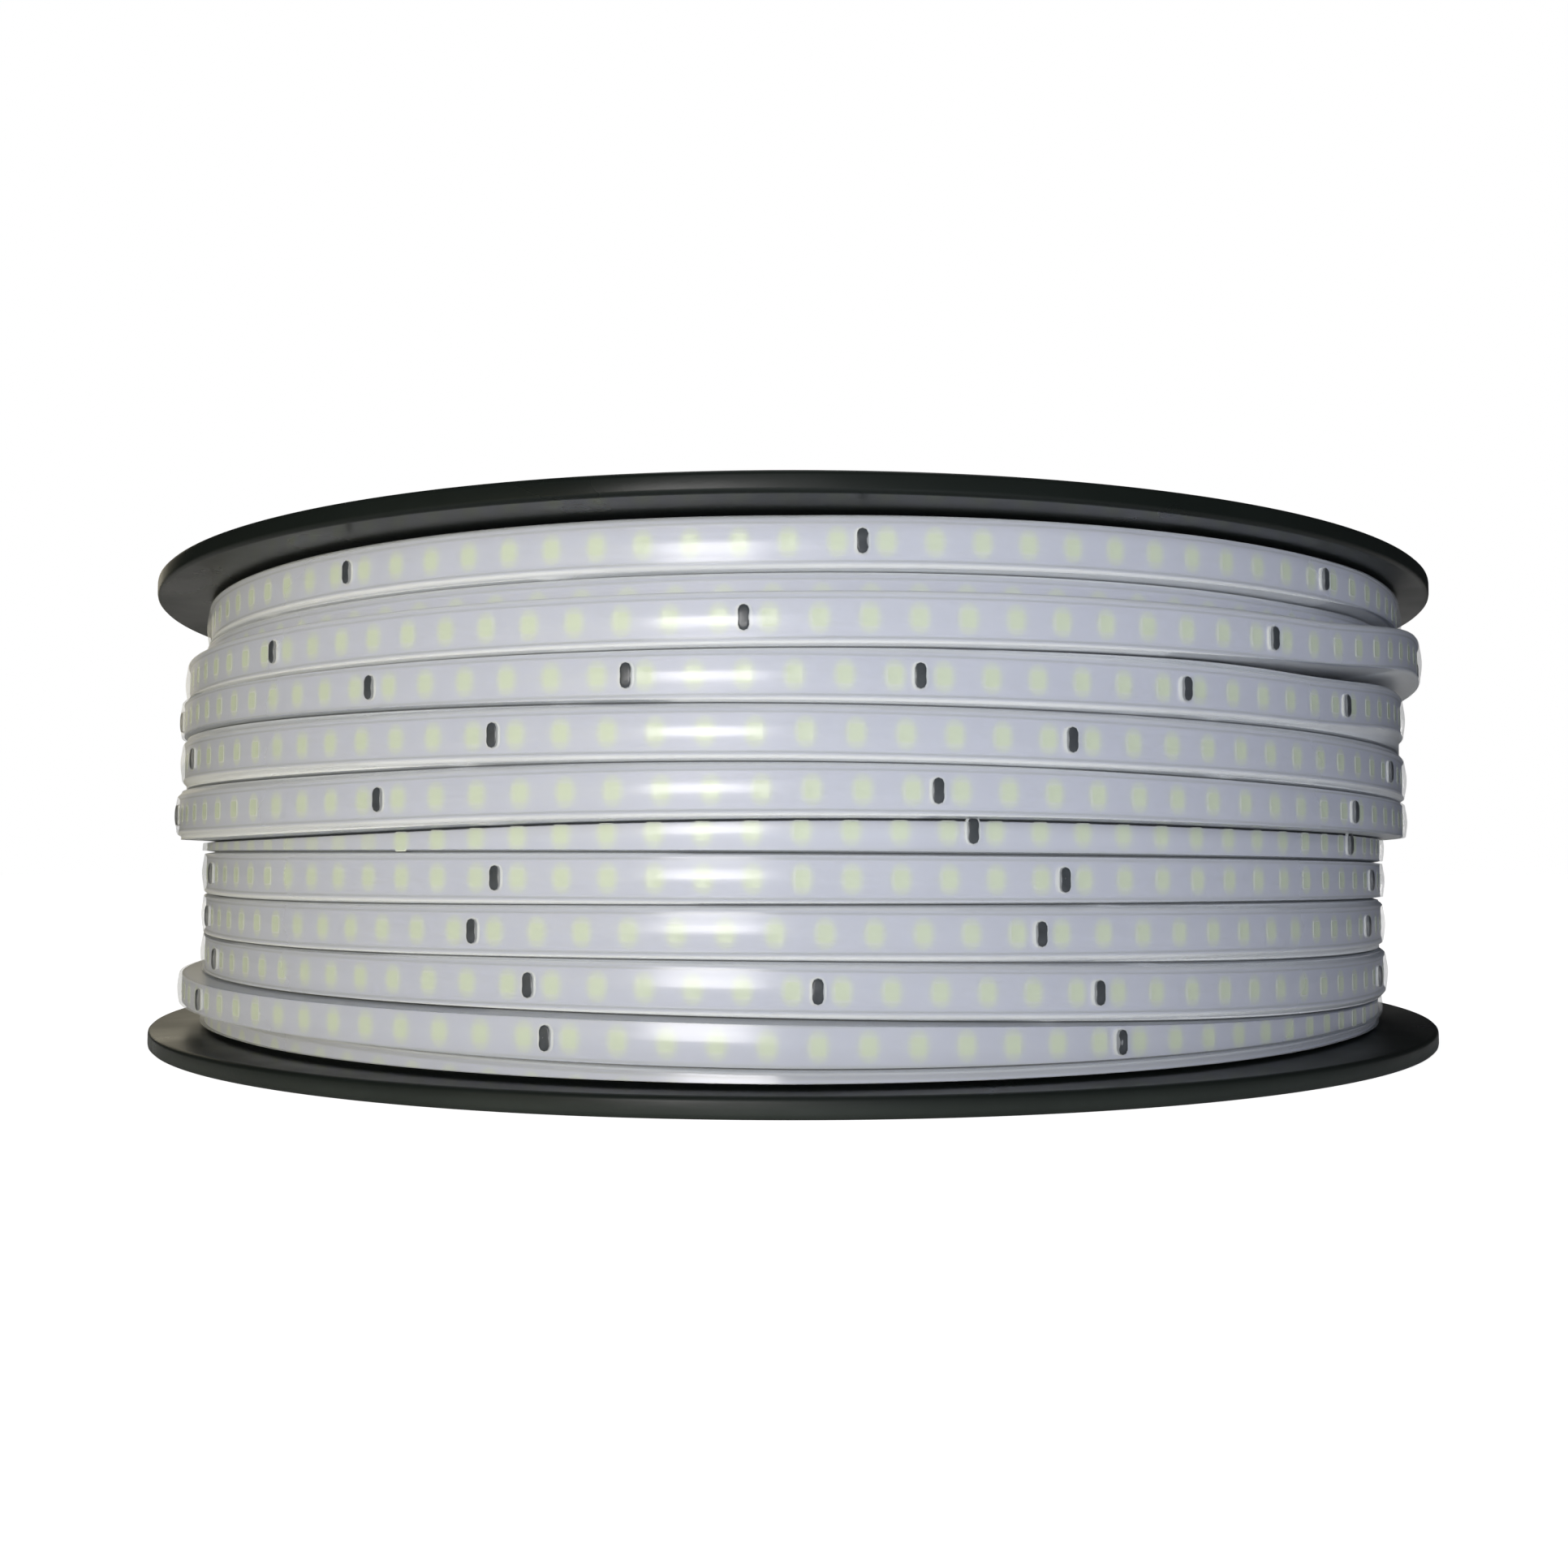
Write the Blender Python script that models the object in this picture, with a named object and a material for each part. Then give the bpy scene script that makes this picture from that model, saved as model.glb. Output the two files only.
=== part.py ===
"""A reel of flat LED rope light, standing on one of its flanges.

The reel is two equal moulded flanges screwed to a barrel. The rope, a flat translucent
tube with its lights moulded in, is wound between them in rising layers. The outermost
turns were laid by hand: some ride one layer higher than others, and each drops to the
next as it goes round. The origin is under the middle of the reel, +Z runs up its axle,
and -Y is the front. Turning angles are counted from the front, towards +X.
"""

import math

import bmesh
import bpy
import numpy as np
from mathutils import Matrix

MM = 0.001

# The rope and how it is wound
ROPE_WIDTH = 9.3 * MM
ROPE_THICKNESS = 5.0 * MM
TURNS_ACROSS = 10
FULL_LAYERS = 14
SIDE_SLACK = 2.4 * MM
GROOVE_DEPTH = 2.2 * MM
EDGE_ROUNDING = 1.8 * MM
SHOULDER_SHARE = 0.3
NARROW_SHARE = 0.1

# The gap that pieces keep where they touch
SEAT_GAP = 0.3 * MM
MERGE_WITHIN = 0.001 * MM

# The barrel that the rope is wound on
CORE_RADIUS = 74.2 * MM
CORE_WALL = 3.0 * MM
POST_SETBACK = 12.2 * MM
POST_RADIUS = 4.5 * MM
POST_WEB = 3.0 * MM
PILOT_DEPTH = 20.0 * MM

# The moulded flange
FLANGE_PROUD = 10.5 * MM
FLANGE_THICKNESS = 3.8 * MM
WEB_THICKNESS = 1.8 * MM
RIM_WIDTH = 4.0 * MM
RIM_ROUNDING = 0.8 * MM
CORE_RING_WIDTH = 5.0 * MM
BORE_RADIUS = 16.0 * MM
HUB_WALL = 6.0 * MM
HUB_DEPTH = 14.0 * MM
HUB_TAPER = 1.5 * MM
SPIGOT_WALL = 2.0 * MM
SPIGOT_HEIGHT = 6.0 * MM
RIB_SETBACK = 0.3 * MM
OUTER_RIBS = 12
OUTER_RIB_WIDTH = 1.8 * MM
SPOKES = 8
SPOKE_RIB_WIDTH = 3.0 * MM
SPOKE_WIDTH = 15.0 * MM
WINDOW_LAND = 8.0 * MM
WINDOW_SETBACK = 18.2 * MM
WINDOW_CORNER = 3.0 * MM
START_SLOT_WIDTH = 6.4 * MM
START_SLOT_LENGTH = 12.0 * MM
START_SLOT_LAND = 2.8 * MM

# The screws that hold each flange to the barrel
SCREWS = 4
SCREW_HEAD_RADIUS = 3.9 * MM
SCREW_HEAD_HEIGHT = 2.1 * MM
HEAD_SECTION = ((0.0, 0.0), (0.55, 0.0), (0.9, 0.3), (1.0, 0.7), (1.0, 1.0))
SCREW_SHANK_RADIUS = 1.8 * MM
SCREW_LENGTH = 16.0 * MM
SCREW_POINT = 2.5 * MM
HEAD_CLEARANCE = 0.6 * MM
PAD_RADIUS = 7.0 * MM

# The rope's outer end, its cap and the tape that holds it down
CUT_TURN = 5
CUT_ANGLE = 150.0
CUT_STEP = 0.5
CAP_LENGTH = 16.0 * MM
CAP_WALL = 0.3 * MM
CAP_ROUNDING = 1.0 * MM
TAPE_THICKNESS = 0.2 * MM
TAPE_WIDTH = 28.0 * MM
TAPE_SETBACK = 6.0 * MM
TAPE_OVERLAP = 13.0 * MM
TAPE_STEP = 2.5 * MM

# Facets on round shapes
FLANGE_FACETS = 56
BARREL_FACETS = 44
ROUND_FACETS = 16
SMALL_FACETS = 12
TURN_STEPS = 56
TAPE_FACETS = 4
CORNER_FACETS = 2
ROUND_PROFILE = 0.5

# What the sizes above lead to
FULL_RADIUS = CORE_RADIUS + SEAT_GAP + FULL_LAYERS * ROPE_THICKNESS
FLANGE_RADIUS = FULL_RADIUS + FLANGE_PROUD
WOUND_WIDTH = TURNS_ACROSS * ROPE_WIDTH + SIDE_SLACK
WOUND_LOW = FLANGE_THICKNESS + SEAT_GAP
WOUND_HIGH = WOUND_LOW + WOUND_WIDTH
REEL_HEIGHT = WOUND_HIGH + SEAT_GAP + FLANGE_THICKNESS
SCREW_CIRCLE = CORE_RADIUS - POST_SETBACK
WINDOW_INNER = BORE_RADIUS + HUB_WALL + WINDOW_LAND
WINDOW_OUTER = CORE_RADIUS - WINDOW_SETBACK
RIB_TOP = FLANGE_THICKNESS - WEB_THICKNESS / 2
SEAT_DEPTH = RIB_SETBACK + SCREW_HEAD_HEIGHT + SEAT_GAP

# The lay of the visible turns, from the top one down. The first three numbers are the
# height of a turn's upper edge at the left, the front and the right, out of LAY_SPAN for
# the whole winding. The other three are the layers that it lies above the last full one.
LAY = (
    (10.22, 10.22, 10.22, 0.0, 0.0, 1.0),
    (9.11, 9.16, 9.29, 0.0, 0.0, 0.2),
    (8.66, 8.74, 8.81, 0.9, 1.0, 1.8),
    (7.68, 7.72, 7.82, 1.0, 1.0, 1.0),
    (6.85, 6.74, 6.55, 1.0, 1.0, 1.0),
    (5.58, 5.76, 5.37, 1.2, 1.0, 1.0),
    (4.35, 4.77, 4.51, 0.0, 0.0, 0.0),
    (4.14, 4.10, 3.97, 0.0, 0.0, 0.0),
    (3.09, 3.17, 3.11, 0.0, 0.0, 0.0),
    (2.14, 2.19, 1.87, 0.0, 0.0, 0.0),
    (1.27, 1.16, 0.69, 1.0, 0.9, -0.2),
    (0.58, 0.42, 0.29, 0.0, 0.0, -0.3),
)
LAST_EDGE = 0.03
LAY_SPAN = 10.26
STATION_ANGLE = 50.0
RAMP_ANGLE = 40.0
SMOOTHING_ANGLE = 20.0
SMOOTHING_SAMPLES = 9
END_SETBACK = 1.3 * MM


def clear_scene():
    """Removes the objects that a new file opens with."""
    for thing in list(bpy.data.objects):
        bpy.data.objects.remove(thing, do_unlink=True)


def material(name, colour, roughness, metallic=0.0, transmission=0.0):
    """A plain Principled material."""
    made = bpy.data.materials.new(name)
    made.use_nodes = True
    shader = made.node_tree.nodes["Principled BSDF"]
    shader.inputs["Base Color"].default_value = (*colour, 1.0)
    shader.inputs["Roughness"].default_value = roughness
    shader.inputs["Metallic"].default_value = metallic
    shader.inputs["Transmission Weight"].default_value = transmission
    made.diffuse_color = (*colour, 1.0)
    return made


def black_plastic():
    return material("black_moulded_plastic", (0.028, 0.032, 0.031), 0.42)


def rope_plastic():
    return material("milky_pvc", (0.62, 0.63, 0.70), 0.28)


def cap_plastic():
    return material("white_pvc", (0.78, 0.78, 0.76), 0.35)


def zinc_plate():
    return material("zinc_plated_steel", (0.62, 0.62, 0.60), 0.3, metallic=1.0)


def clear_tape():
    return material("clear_tape", (0.80, 0.78, 0.70), 0.2, transmission=0.6)


def add_object(name, mesh, finish, smooth_angle=30.0):
    """Links a mesh as an object, with its material and its round faces smooth."""
    thing = bpy.data.objects.new(name, mesh)
    bpy.context.scene.collection.objects.link(thing)
    if finish is not None:
        mesh.materials.clear()
        mesh.materials.append(finish)
        mesh.shade_smooth()
        mesh.set_sharp_from_angle(angle=math.radians(smooth_angle))
    return thing


def mesh_of(bm, name):
    """Turns a bmesh into a mesh whose faces point outwards."""
    bmesh.ops.recalc_face_normals(bm, faces=bm.faces)
    mesh = bpy.data.meshes.new(name)
    bm.to_mesh(mesh)
    bm.free()
    return mesh


def turned(name, outline, facets, closed=True):
    """Spins an outline of (radius, height) points round Z. An open one ends on the axis."""
    bm = bmesh.new()
    ring = [bm.verts.new((r, 0.0, z)) for r, z in outline]
    edges = [bm.edges.new(pair) for pair in zip(ring[:-1], ring[1:])]
    if closed:
        edges.append(bm.edges.new((ring[-1], ring[0])))
    bmesh.ops.spin(
        bm, geom=ring + edges, cent=(0, 0, 0), axis=(0, 0, 1), angle=math.tau,
        steps=facets, use_merge=True, use_duplicate=False,
    )
    bmesh.ops.remove_doubles(bm, verts=bm.verts, dist=MERGE_WITHIN)
    return mesh_of(bm, name)


def add_cylinder(bm, radius, low, high, facets, place):
    """A plain cylinder from one height to another, moved by a matrix."""
    middle = Matrix.Translation((0, 0, (low + high) / 2))
    bmesh.ops.create_cone(
        bm, cap_ends=True, segments=facets, radius1=radius, radius2=radius,
        depth=high - low, matrix=place @ middle,
    )


def add_box(bm, low, high, place):
    """A box between two corners, moved by a matrix."""
    size = [b - a for a, b in zip(low, high)]
    centre = [(a + b) / 2 for a, b in zip(low, high)]
    box = Matrix.Translation(centre) @ Matrix.Diagonal((*size, 1.0))
    bmesh.ops.create_cube(bm, size=1.0, matrix=place @ box)


def turned_to(degrees, radius=0.0):
    """The matrix that swings local +X to an angle from the front, and out by a radius."""
    swing = Matrix.Rotation(math.radians(degrees - 90.0), 4, "Z")
    return swing @ Matrix.Translation((radius, 0, 0))


def combined(base, tools):
    """The base mesh with each (operation, mesh) tool applied by a Boolean modifier."""
    body = add_object("body", base, None)
    cutters = []
    for operation, mesh in tools:
        tool = add_object("tool", mesh, None)
        tool.hide_render = True
        tool.display_type = "WIRE"
        step = body.modifiers.new(operation.lower(), "BOOLEAN")
        step.operation = operation
        step.solver = "EXACT"
        step.use_self = operation == "UNION"
        step.object = tool
        cutters.append(tool)
    graph = bpy.context.evaluated_depsgraph_get()
    result = bpy.data.meshes.new_from_object(body.evaluated_get(graph))
    for thing in [body, *cutters]:
        bpy.data.objects.remove(thing, do_unlink=True)
    return result


def flange_outline():
    """The section of the lower flange: rim, web, core ring, hub and spigot."""
    web_under = FLANGE_THICKNESS - WEB_THICKNESS
    rim_in = FLANGE_RADIUS - RIM_WIDTH
    spigot_out = CORE_RADIUS - CORE_WALL - SEAT_GAP
    spigot_in = spigot_out - SPIGOT_WALL
    hub_out = BORE_RADIUS + HUB_WALL
    ring_in = CORE_RADIUS - CORE_RING_WIDTH
    return (
        (BORE_RADIUS, 0),
        (hub_out, 0),
        (hub_out, web_under),
        (ring_in, web_under),
        (ring_in, 0),
        (CORE_RADIUS, 0),
        (CORE_RADIUS, web_under),
        (rim_in, web_under),
        (rim_in, 0),
        (FLANGE_RADIUS - RIM_ROUNDING, 0),
        (FLANGE_RADIUS, RIM_ROUNDING),
        (FLANGE_RADIUS, FLANGE_THICKNESS - RIM_ROUNDING),
        (FLANGE_RADIUS - RIM_ROUNDING, FLANGE_THICKNESS),
        (spigot_out, FLANGE_THICKNESS),
        (spigot_out, FLANGE_THICKNESS + SPIGOT_HEIGHT),
        (spigot_in, FLANGE_THICKNESS + SPIGOT_HEIGHT),
        (spigot_in, FLANGE_THICKNESS),
        (hub_out, FLANGE_THICKNESS),
        (hub_out - HUB_TAPER, FLANGE_THICKNESS + HUB_DEPTH),
        (BORE_RADIUS, FLANGE_THICKNESS + HUB_DEPTH),
    )


def screw_angles():
    return [(k + 0.5) * 360.0 / SCREWS for k in range(SCREWS)]


def flange_ribs():
    """Radial ribs on the outer face, from the core ring to the rim."""
    bm = bmesh.new()
    for k in range(OUTER_RIBS):
        add_box(
            bm,
            (CORE_RADIUS - CORE_RING_WIDTH / 2, -OUTER_RIB_WIDTH / 2, RIB_SETBACK),
            (FLANGE_RADIUS - RIM_WIDTH / 2, OUTER_RIB_WIDTH / 2, RIB_TOP),
            turned_to((k + 0.5) * 360.0 / OUTER_RIBS),
        )
    return mesh_of(bm, "outer_ribs")


def flange_spokes():
    """The ribs between the hub and the core ring, one on each spoke."""
    bm = bmesh.new()
    for k in range(SPOKES):
        add_box(
            bm,
            (BORE_RADIUS + HUB_WALL / 2, -SPOKE_RIB_WIDTH / 2, RIB_SETBACK),
            (CORE_RADIUS - CORE_RING_WIDTH / 2, SPOKE_RIB_WIDTH / 2, RIB_TOP),
            turned_to(k * 360.0 / SPOKES),
        )
    return mesh_of(bm, "spoke_ribs")


def screw_pads():
    """The round pads that the screw heads sink into."""
    bm = bmesh.new()
    for angle in screw_angles():
        add_cylinder(
            bm, PAD_RADIUS, RIB_SETBACK / 2, FLANGE_THICKNESS - RIB_SETBACK / 2,
            ROUND_FACETS, turned_to(angle, SCREW_CIRCLE),
        )
    return mesh_of(bm, "screw_pads")


def window_cutters():
    """A rounded four-sided window between each two spokes."""
    bm = bmesh.new()
    half_turn = math.pi / SPOKES
    setback = SPOKE_WIDTH / 2 / math.cos(half_turn)
    for k in range(SPOKES):
        corners = []
        for u in (WINDOW_INNER, WINDOW_OUTER):
            corners.append((u, u * math.tan(half_turn) - setback))
        outline = [
            (corners[0][0], -corners[0][1]),
            (corners[1][0], -corners[1][1]),
            (corners[1][0], corners[1][1]),
            (corners[0][0], corners[0][1]),
        ]
        low = [bm.verts.new((u, v, -FLANGE_THICKNESS)) for u, v in outline]
        face = bm.faces.new(low)
        raised = bmesh.ops.extrude_face_region(bm, geom=[face])["geom"]
        high = [item for item in raised if isinstance(item, bmesh.types.BMVert)]
        bmesh.ops.translate(bm, verts=high, vec=(0, 0, 3 * FLANGE_THICKNESS))
        sides = [
            edge for vertex in low for edge in vertex.link_edges
            if abs(edge.verts[0].co.z - edge.verts[1].co.z) > FLANGE_THICKNESS
        ]
        rounded = bmesh.ops.bevel(
            bm, geom=sides, offset=WINDOW_CORNER, segments=CORNER_FACETS,
            profile=ROUND_PROFILE, affect="EDGES",
        )
        near = set(low) | set(high) | set(rounded["verts"])
        whole = [v for v in near if v.is_valid]
        between = turned_to((k + 0.5) * 360.0 / SPOKES)
        bmesh.ops.transform(bm, matrix=between, verts=whole)
    return mesh_of(bm, "windows")


def head_recesses():
    """The round recesses that the screw heads lie in."""
    bm = bmesh.new()
    for angle in screw_angles():
        add_cylinder(
            bm, SCREW_HEAD_RADIUS + HEAD_CLEARANCE, -FLANGE_THICKNESS, SEAT_DEPTH,
            ROUND_FACETS, turned_to(angle, SCREW_CIRCLE),
        )
    return mesh_of(bm, "head_recesses")


def flange_holes():
    """Screw holes, notches in the spigot for the posts' webs, and the start slot."""
    bm = bmesh.new()
    notch = POST_WEB / 2 + SEAT_GAP
    wall_in = CORE_RADIUS - CORE_WALL
    for angle in screw_angles():
        add_cylinder(
            bm, SCREW_SHANK_RADIUS + SEAT_GAP, -FLANGE_THICKNESS, 2 * FLANGE_THICKNESS,
            SMALL_FACETS, turned_to(angle, SCREW_CIRCLE),
        )
        add_box(
            bm,
            (wall_in - 2 * SPIGOT_WALL, -notch, FLANGE_THICKNESS),
            (wall_in + SPIGOT_WALL, notch, FLANGE_THICKNESS + 2 * SPIGOT_HEIGHT),
            turned_to(angle),
        )
    slot_in = CORE_RADIUS + START_SLOT_LAND
    add_box(
        bm,
        (slot_in, -START_SLOT_LENGTH / 2, -FLANGE_THICKNESS),
        (slot_in + START_SLOT_WIDTH, START_SLOT_LENGTH / 2, 2 * FLANGE_THICKNESS),
        turned_to(180.0),
    )
    return mesh_of(bm, "holes")


def flange_mesh():
    """One moulded flange, lying as the lower one does."""
    plate = turned("flange", flange_outline(), FLANGE_FACETS)
    return combined(plate, (
        ("UNION", flange_ribs()),
        ("UNION", flange_spokes()),
        ("UNION", screw_pads()),
        ("DIFFERENCE", window_cutters()),
        ("DIFFERENCE", head_recesses()),
        ("DIFFERENCE", flange_holes()),
    ))


def upside_down(thing):
    """Turns a piece of the lower end over, so that it serves the upper end."""
    thing.matrix_world = (
        Matrix.Translation((0, 0, REEL_HEIGHT)) @ Matrix.Rotation(math.pi, 4, "Y")
    )


def add_flanges():
    """The two flanges are one moulding, used twice."""
    mesh = flange_mesh()
    finish = black_plastic()
    add_object("flange_lower", mesh, finish)
    upside_down(add_object("flange_upper", mesh, finish))


def add_barrel():
    """The tube between the flanges, with a screw post on each of its inner webs."""
    low = WOUND_LOW
    high = WOUND_HIGH
    inner = CORE_RADIUS - CORE_WALL
    outline = ((inner, low), (CORE_RADIUS, low), (CORE_RADIUS, high), (inner, high))
    tube = turned("barrel", outline, BARREL_FACETS)
    webs = bmesh.new()
    posts = bmesh.new()
    pilots = bmesh.new()
    for angle in screw_angles():
        add_box(
            webs, (SCREW_CIRCLE, -POST_WEB / 2, low + SEAT_GAP),
            (CORE_RADIUS - CORE_WALL / 2, POST_WEB / 2, high - SEAT_GAP), turned_to(angle),
        )
        place = turned_to(angle, SCREW_CIRCLE)
        add_cylinder(posts, POST_RADIUS, low, high, ROUND_FACETS, place)
        hole = SCREW_SHANK_RADIUS + SEAT_GAP
        for start, end in ((low - PILOT_DEPTH, low + PILOT_DEPTH),
                           (high - PILOT_DEPTH, high + PILOT_DEPTH)):
            add_cylinder(pilots, hole, start, end, SMALL_FACETS, place)
    mesh = combined(tube, (
        ("UNION", mesh_of(webs, "webs")),
        ("UNION", mesh_of(posts, "posts")),
        ("DIFFERENCE", mesh_of(pilots, "pilots")),
    ))
    add_object("core_barrel", mesh, black_plastic())


def screw_mesh():
    """A pan-head screw, head down, its seat just under the recess in the flange."""
    seat = SEAT_DEPTH - SEAT_GAP
    top = seat - SCREW_HEAD_HEIGHT
    end = seat + SCREW_LENGTH
    head = [
        (across * SCREW_HEAD_RADIUS, top + down * SCREW_HEAD_HEIGHT)
        for across, down in HEAD_SECTION
    ]
    shank = [(SCREW_SHANK_RADIUS, seat), (SCREW_SHANK_RADIUS, end - SCREW_POINT), (0, end)]
    return turned("screw", head + shank, SMALL_FACETS, closed=False)


def add_screws():
    """One screw through each flange into each post."""
    mesh = screw_mesh()
    finish = zinc_plate()
    for k, angle in enumerate(screw_angles(), start=1):
        lower = add_object(f"screw_lower_{k}", mesh, finish)
        lower.matrix_world = turned_to(angle, SCREW_CIRCLE)
        upper = add_object(f"screw_upper_{k}", mesh, finish)
        upside_down(upper)
        upper.matrix_world = upper.matrix_world @ turned_to(angle, SCREW_CIRCLE)


def stations():
    """Where along the winding each number of the lay holds, in turns from the front."""
    side = STATION_ANGLE / 360.0
    return [turn + at for turn in range(len(LAY)) for at in (-side, 0.0, side)]


def edge_height(turns):
    """Height of the upper edge of the turn there, from stations joined and smoothed."""
    turns = np.asarray(turns, float)
    at = stations() + [float(len(LAY))]
    heights = [value for row in LAY for value in row[:3]] + [LAST_EDGE]
    spread = SMOOTHING_ANGLE / 360.0
    shifts = np.linspace(-spread, spread, SMOOTHING_SAMPLES)
    joined = [np.interp(turns + shift, at, heights) for shift in shifts]
    return WOUND_LOW + WOUND_WIDTH * np.mean(joined, axis=0) / LAY_SPAN


def turn_radius(turns):
    """Outer radius of the rope there. It starts and ends sunk by one layer."""
    cut = CUT_TURN + CUT_ANGLE / 360.0
    ramp = RAMP_ANGLE / 360.0
    keyed = list(zip(stations(), (value for row in LAY for value in row[3:])))
    keyed += [(-0.5, -1.0), (-0.5 + ramp, 0.0)]
    keyed += [(len(LAY) - 0.5 - ramp, LAY[-1][5]), (len(LAY) - 0.5, -1.0)]
    before = LAY[CUT_TURN][5]
    after = LAY[CUT_TURN + 1][3]
    keyed += [(cut, before), (cut + CUT_STEP / 360.0, after)]
    keyed.sort()
    at, layers = zip(*keyed)
    return FULL_RADIUS + ROPE_THICKNESS * np.interp(turns, at, layers)


def round_the_axle(radius, degrees, height):
    """Points at a radius, an angle from the front and a height."""
    angle = np.radians(degrees)
    return np.stack(
        [radius * np.sin(angle), -radius * np.cos(angle), height + 0 * angle], axis=-1
    )


def turn_section(turns):
    """Radius and height of the four points across the rope at each place of the lay."""
    top = edge_height(turns)
    bottom = edge_height(turns + 1.0)
    radius = turn_radius(turns)
    width = top - bottom
    near = np.minimum(SHOULDER_SHARE * EDGE_ROUNDING, NARROW_SHARE * width)
    far = np.minimum(EDGE_ROUNDING, SHOULDER_SHARE * width)
    shoulder = radius - SHOULDER_SHARE * EDGE_ROUNDING
    radii = [shoulder, radius, radius, shoulder]
    heights = [top - near, top - far, bottom + far, bottom + near]
    return np.stack(radii, axis=1), np.stack(heights, axis=1)


def winding_points():
    """Points of the grooves between turns, of the rope across each turn, and of the ends."""
    even = np.arange(TURN_STEPS) * 360.0 / TURN_STEPS - 180.0
    angles = np.sort(np.append(even, CUT_ANGLE + CUT_STEP))
    turns = np.arange(len(LAY) + 1)
    places = (turns[:, None] + angles / 360.0).ravel()
    swing = np.tile(angles, len(turns))
    count = len(LAY) * len(angles)
    radii, heights = turn_section(places[:count])
    across = round_the_axle(radii, swing[:count, None] + 0 * radii, heights)
    shallow = np.minimum(turn_radius(places), turn_radius(places - 1.0)) - GROOVE_DEPTH
    grooves = round_the_axle(shallow, swing, edge_height(places))
    inside = CORE_RADIUS + SEAT_GAP + 0 * angles
    under = shallow.min() - END_SETBACK + 0 * angles
    ends = [
        round_the_axle(radius, angles, height)
        for radius, height in (
            (inside, WOUND_HIGH), (under, WOUND_HIGH), (under, WOUND_LOW), (inside, WOUND_LOW),
        )
    ]
    return grooves, across, ends


def add_winding():
    """The wound rope as one solid: a band that goes round and drops to the next turn."""
    groove_points, across_points, end_points = winding_points()
    bm = bmesh.new()
    groove = [bm.verts.new(point) for point in groove_points]
    across = [[bm.verts.new(point) for point in row] for row in across_points]
    rings = [[bm.verts.new(point) for point in ring] for ring in end_points]
    around = len(rings[0])
    sections = [
        [groove[i], *row, groove[i + around]] for i, row in enumerate(across)
    ]
    for here, beyond in zip(sections[:-1], sections[1:]):
        for j in range(len(here) - 1):
            bm.faces.new((here[j], here[j + 1], beyond[j + 1], beyond[j]))
    top, bottom = rings[1], rings[2]
    first, last = groove[: around + 1], groove[-around - 1:]
    for i in range(around):
        after = (i + 1) % around
        bm.faces.new((top[i], first[i], first[i + 1], top[after]))
        bm.faces.new((last[i], bottom[i - 1], bottom[i], last[i + 1]))
        for ring, following in zip(rings, rings[1:] + rings[:1]):
            if ring is not top:
                bm.faces.new((ring[i], following[i], following[after], ring[after]))
    bm.faces.new([top[0], *sections[0]])
    bm.faces.new([*sections[-1], bottom[-1]])
    add_object("rope_winding", mesh_of(bm, "rope_winding"), rope_plastic(), 50.0)


def add_end_cap():
    """The moulded cap on the rope's cut end, lying on the layer below."""
    under = FULL_RADIUS + SEAT_GAP
    start = CUT_ANGLE + CUT_STEP
    length_angle = math.degrees((CAP_LENGTH / 2 + SEAT_GAP) / under)
    height = ROPE_WIDTH + 2 * CAP_WALL
    lane_top = edge_height(CUT_TURN + (start + 2 * length_angle) / 360.0)
    low = lane_top - SEAT_GAP - height
    bm = bmesh.new()
    add_box(
        bm,
        (under, -CAP_LENGTH / 2, low),
        (under + ROPE_THICKNESS + CAP_WALL, CAP_LENGTH / 2, low + height),
        turned_to(start + length_angle),
    )
    bmesh.ops.bevel(
        bm, geom=bm.edges[:], offset=CAP_ROUNDING, segments=CORNER_FACETS,
        profile=ROUND_PROFILE, affect="EDGES",
    )
    add_object("rope_end_cap", mesh_of(bm, "rope_end_cap"), cap_plastic())


def add_tape():
    """The strip of tape over the last turn, from the turns above to the layer below."""
    reach = math.degrees(TAPE_WIDTH / (FULL_RADIUS + ROPE_THICKNESS))
    end = CUT_ANGLE - math.degrees(TAPE_SETBACK / FULL_RADIUS)
    angles = np.linspace(end - reach, end, TAPE_FACETS + 1)
    above, held, below = [
        turn_radius(turn + angles / 360.0) + SEAT_GAP
        for turn in (CUT_TURN - 1, CUT_TURN, CUT_TURN + 1)
    ]
    turn_low = edge_height(CUT_TURN + 1 + angles / 360.0)
    turn_high = edge_height(CUT_TURN + angles / 360.0)
    heights = [
        turn_high + TAPE_OVERLAP, turn_high, turn_low, turn_low - TAPE_STEP,
        turn_low - TAPE_OVERLAP,
    ]
    radii = [above, np.maximum(above, held), held, below, below]
    inner = [round_the_axle(r, angles, z) for r, z in zip(radii, heights)]
    outer = [round_the_axle(r + TAPE_THICKNESS, angles, z) for r, z in zip(radii, heights)]
    bm = bmesh.new()
    rows = [[bm.verts.new(point) for point in row] for row in inner + outer[::-1]]
    for here, beyond in zip(rows, rows[1:] + rows[:1]):
        for i in range(TAPE_FACETS):
            bm.faces.new((here[i], here[i + 1], beyond[i + 1], beyond[i]))
    across = len(inner)
    for side in (0, TAPE_FACETS):
        for j in range(across - 1):
            ring = (rows[j], rows[j + 1], rows[-j - 2], rows[-j - 1])
            bm.faces.new([row[side] for row in ring])
    add_object("end_tape", mesh_of(bm, "end_tape"), clear_tape())


def build():
    clear_scene()
    add_flanges()
    add_barrel()
    add_screws()
    add_winding()
    add_end_cap()
    add_tape()


build()
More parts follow.
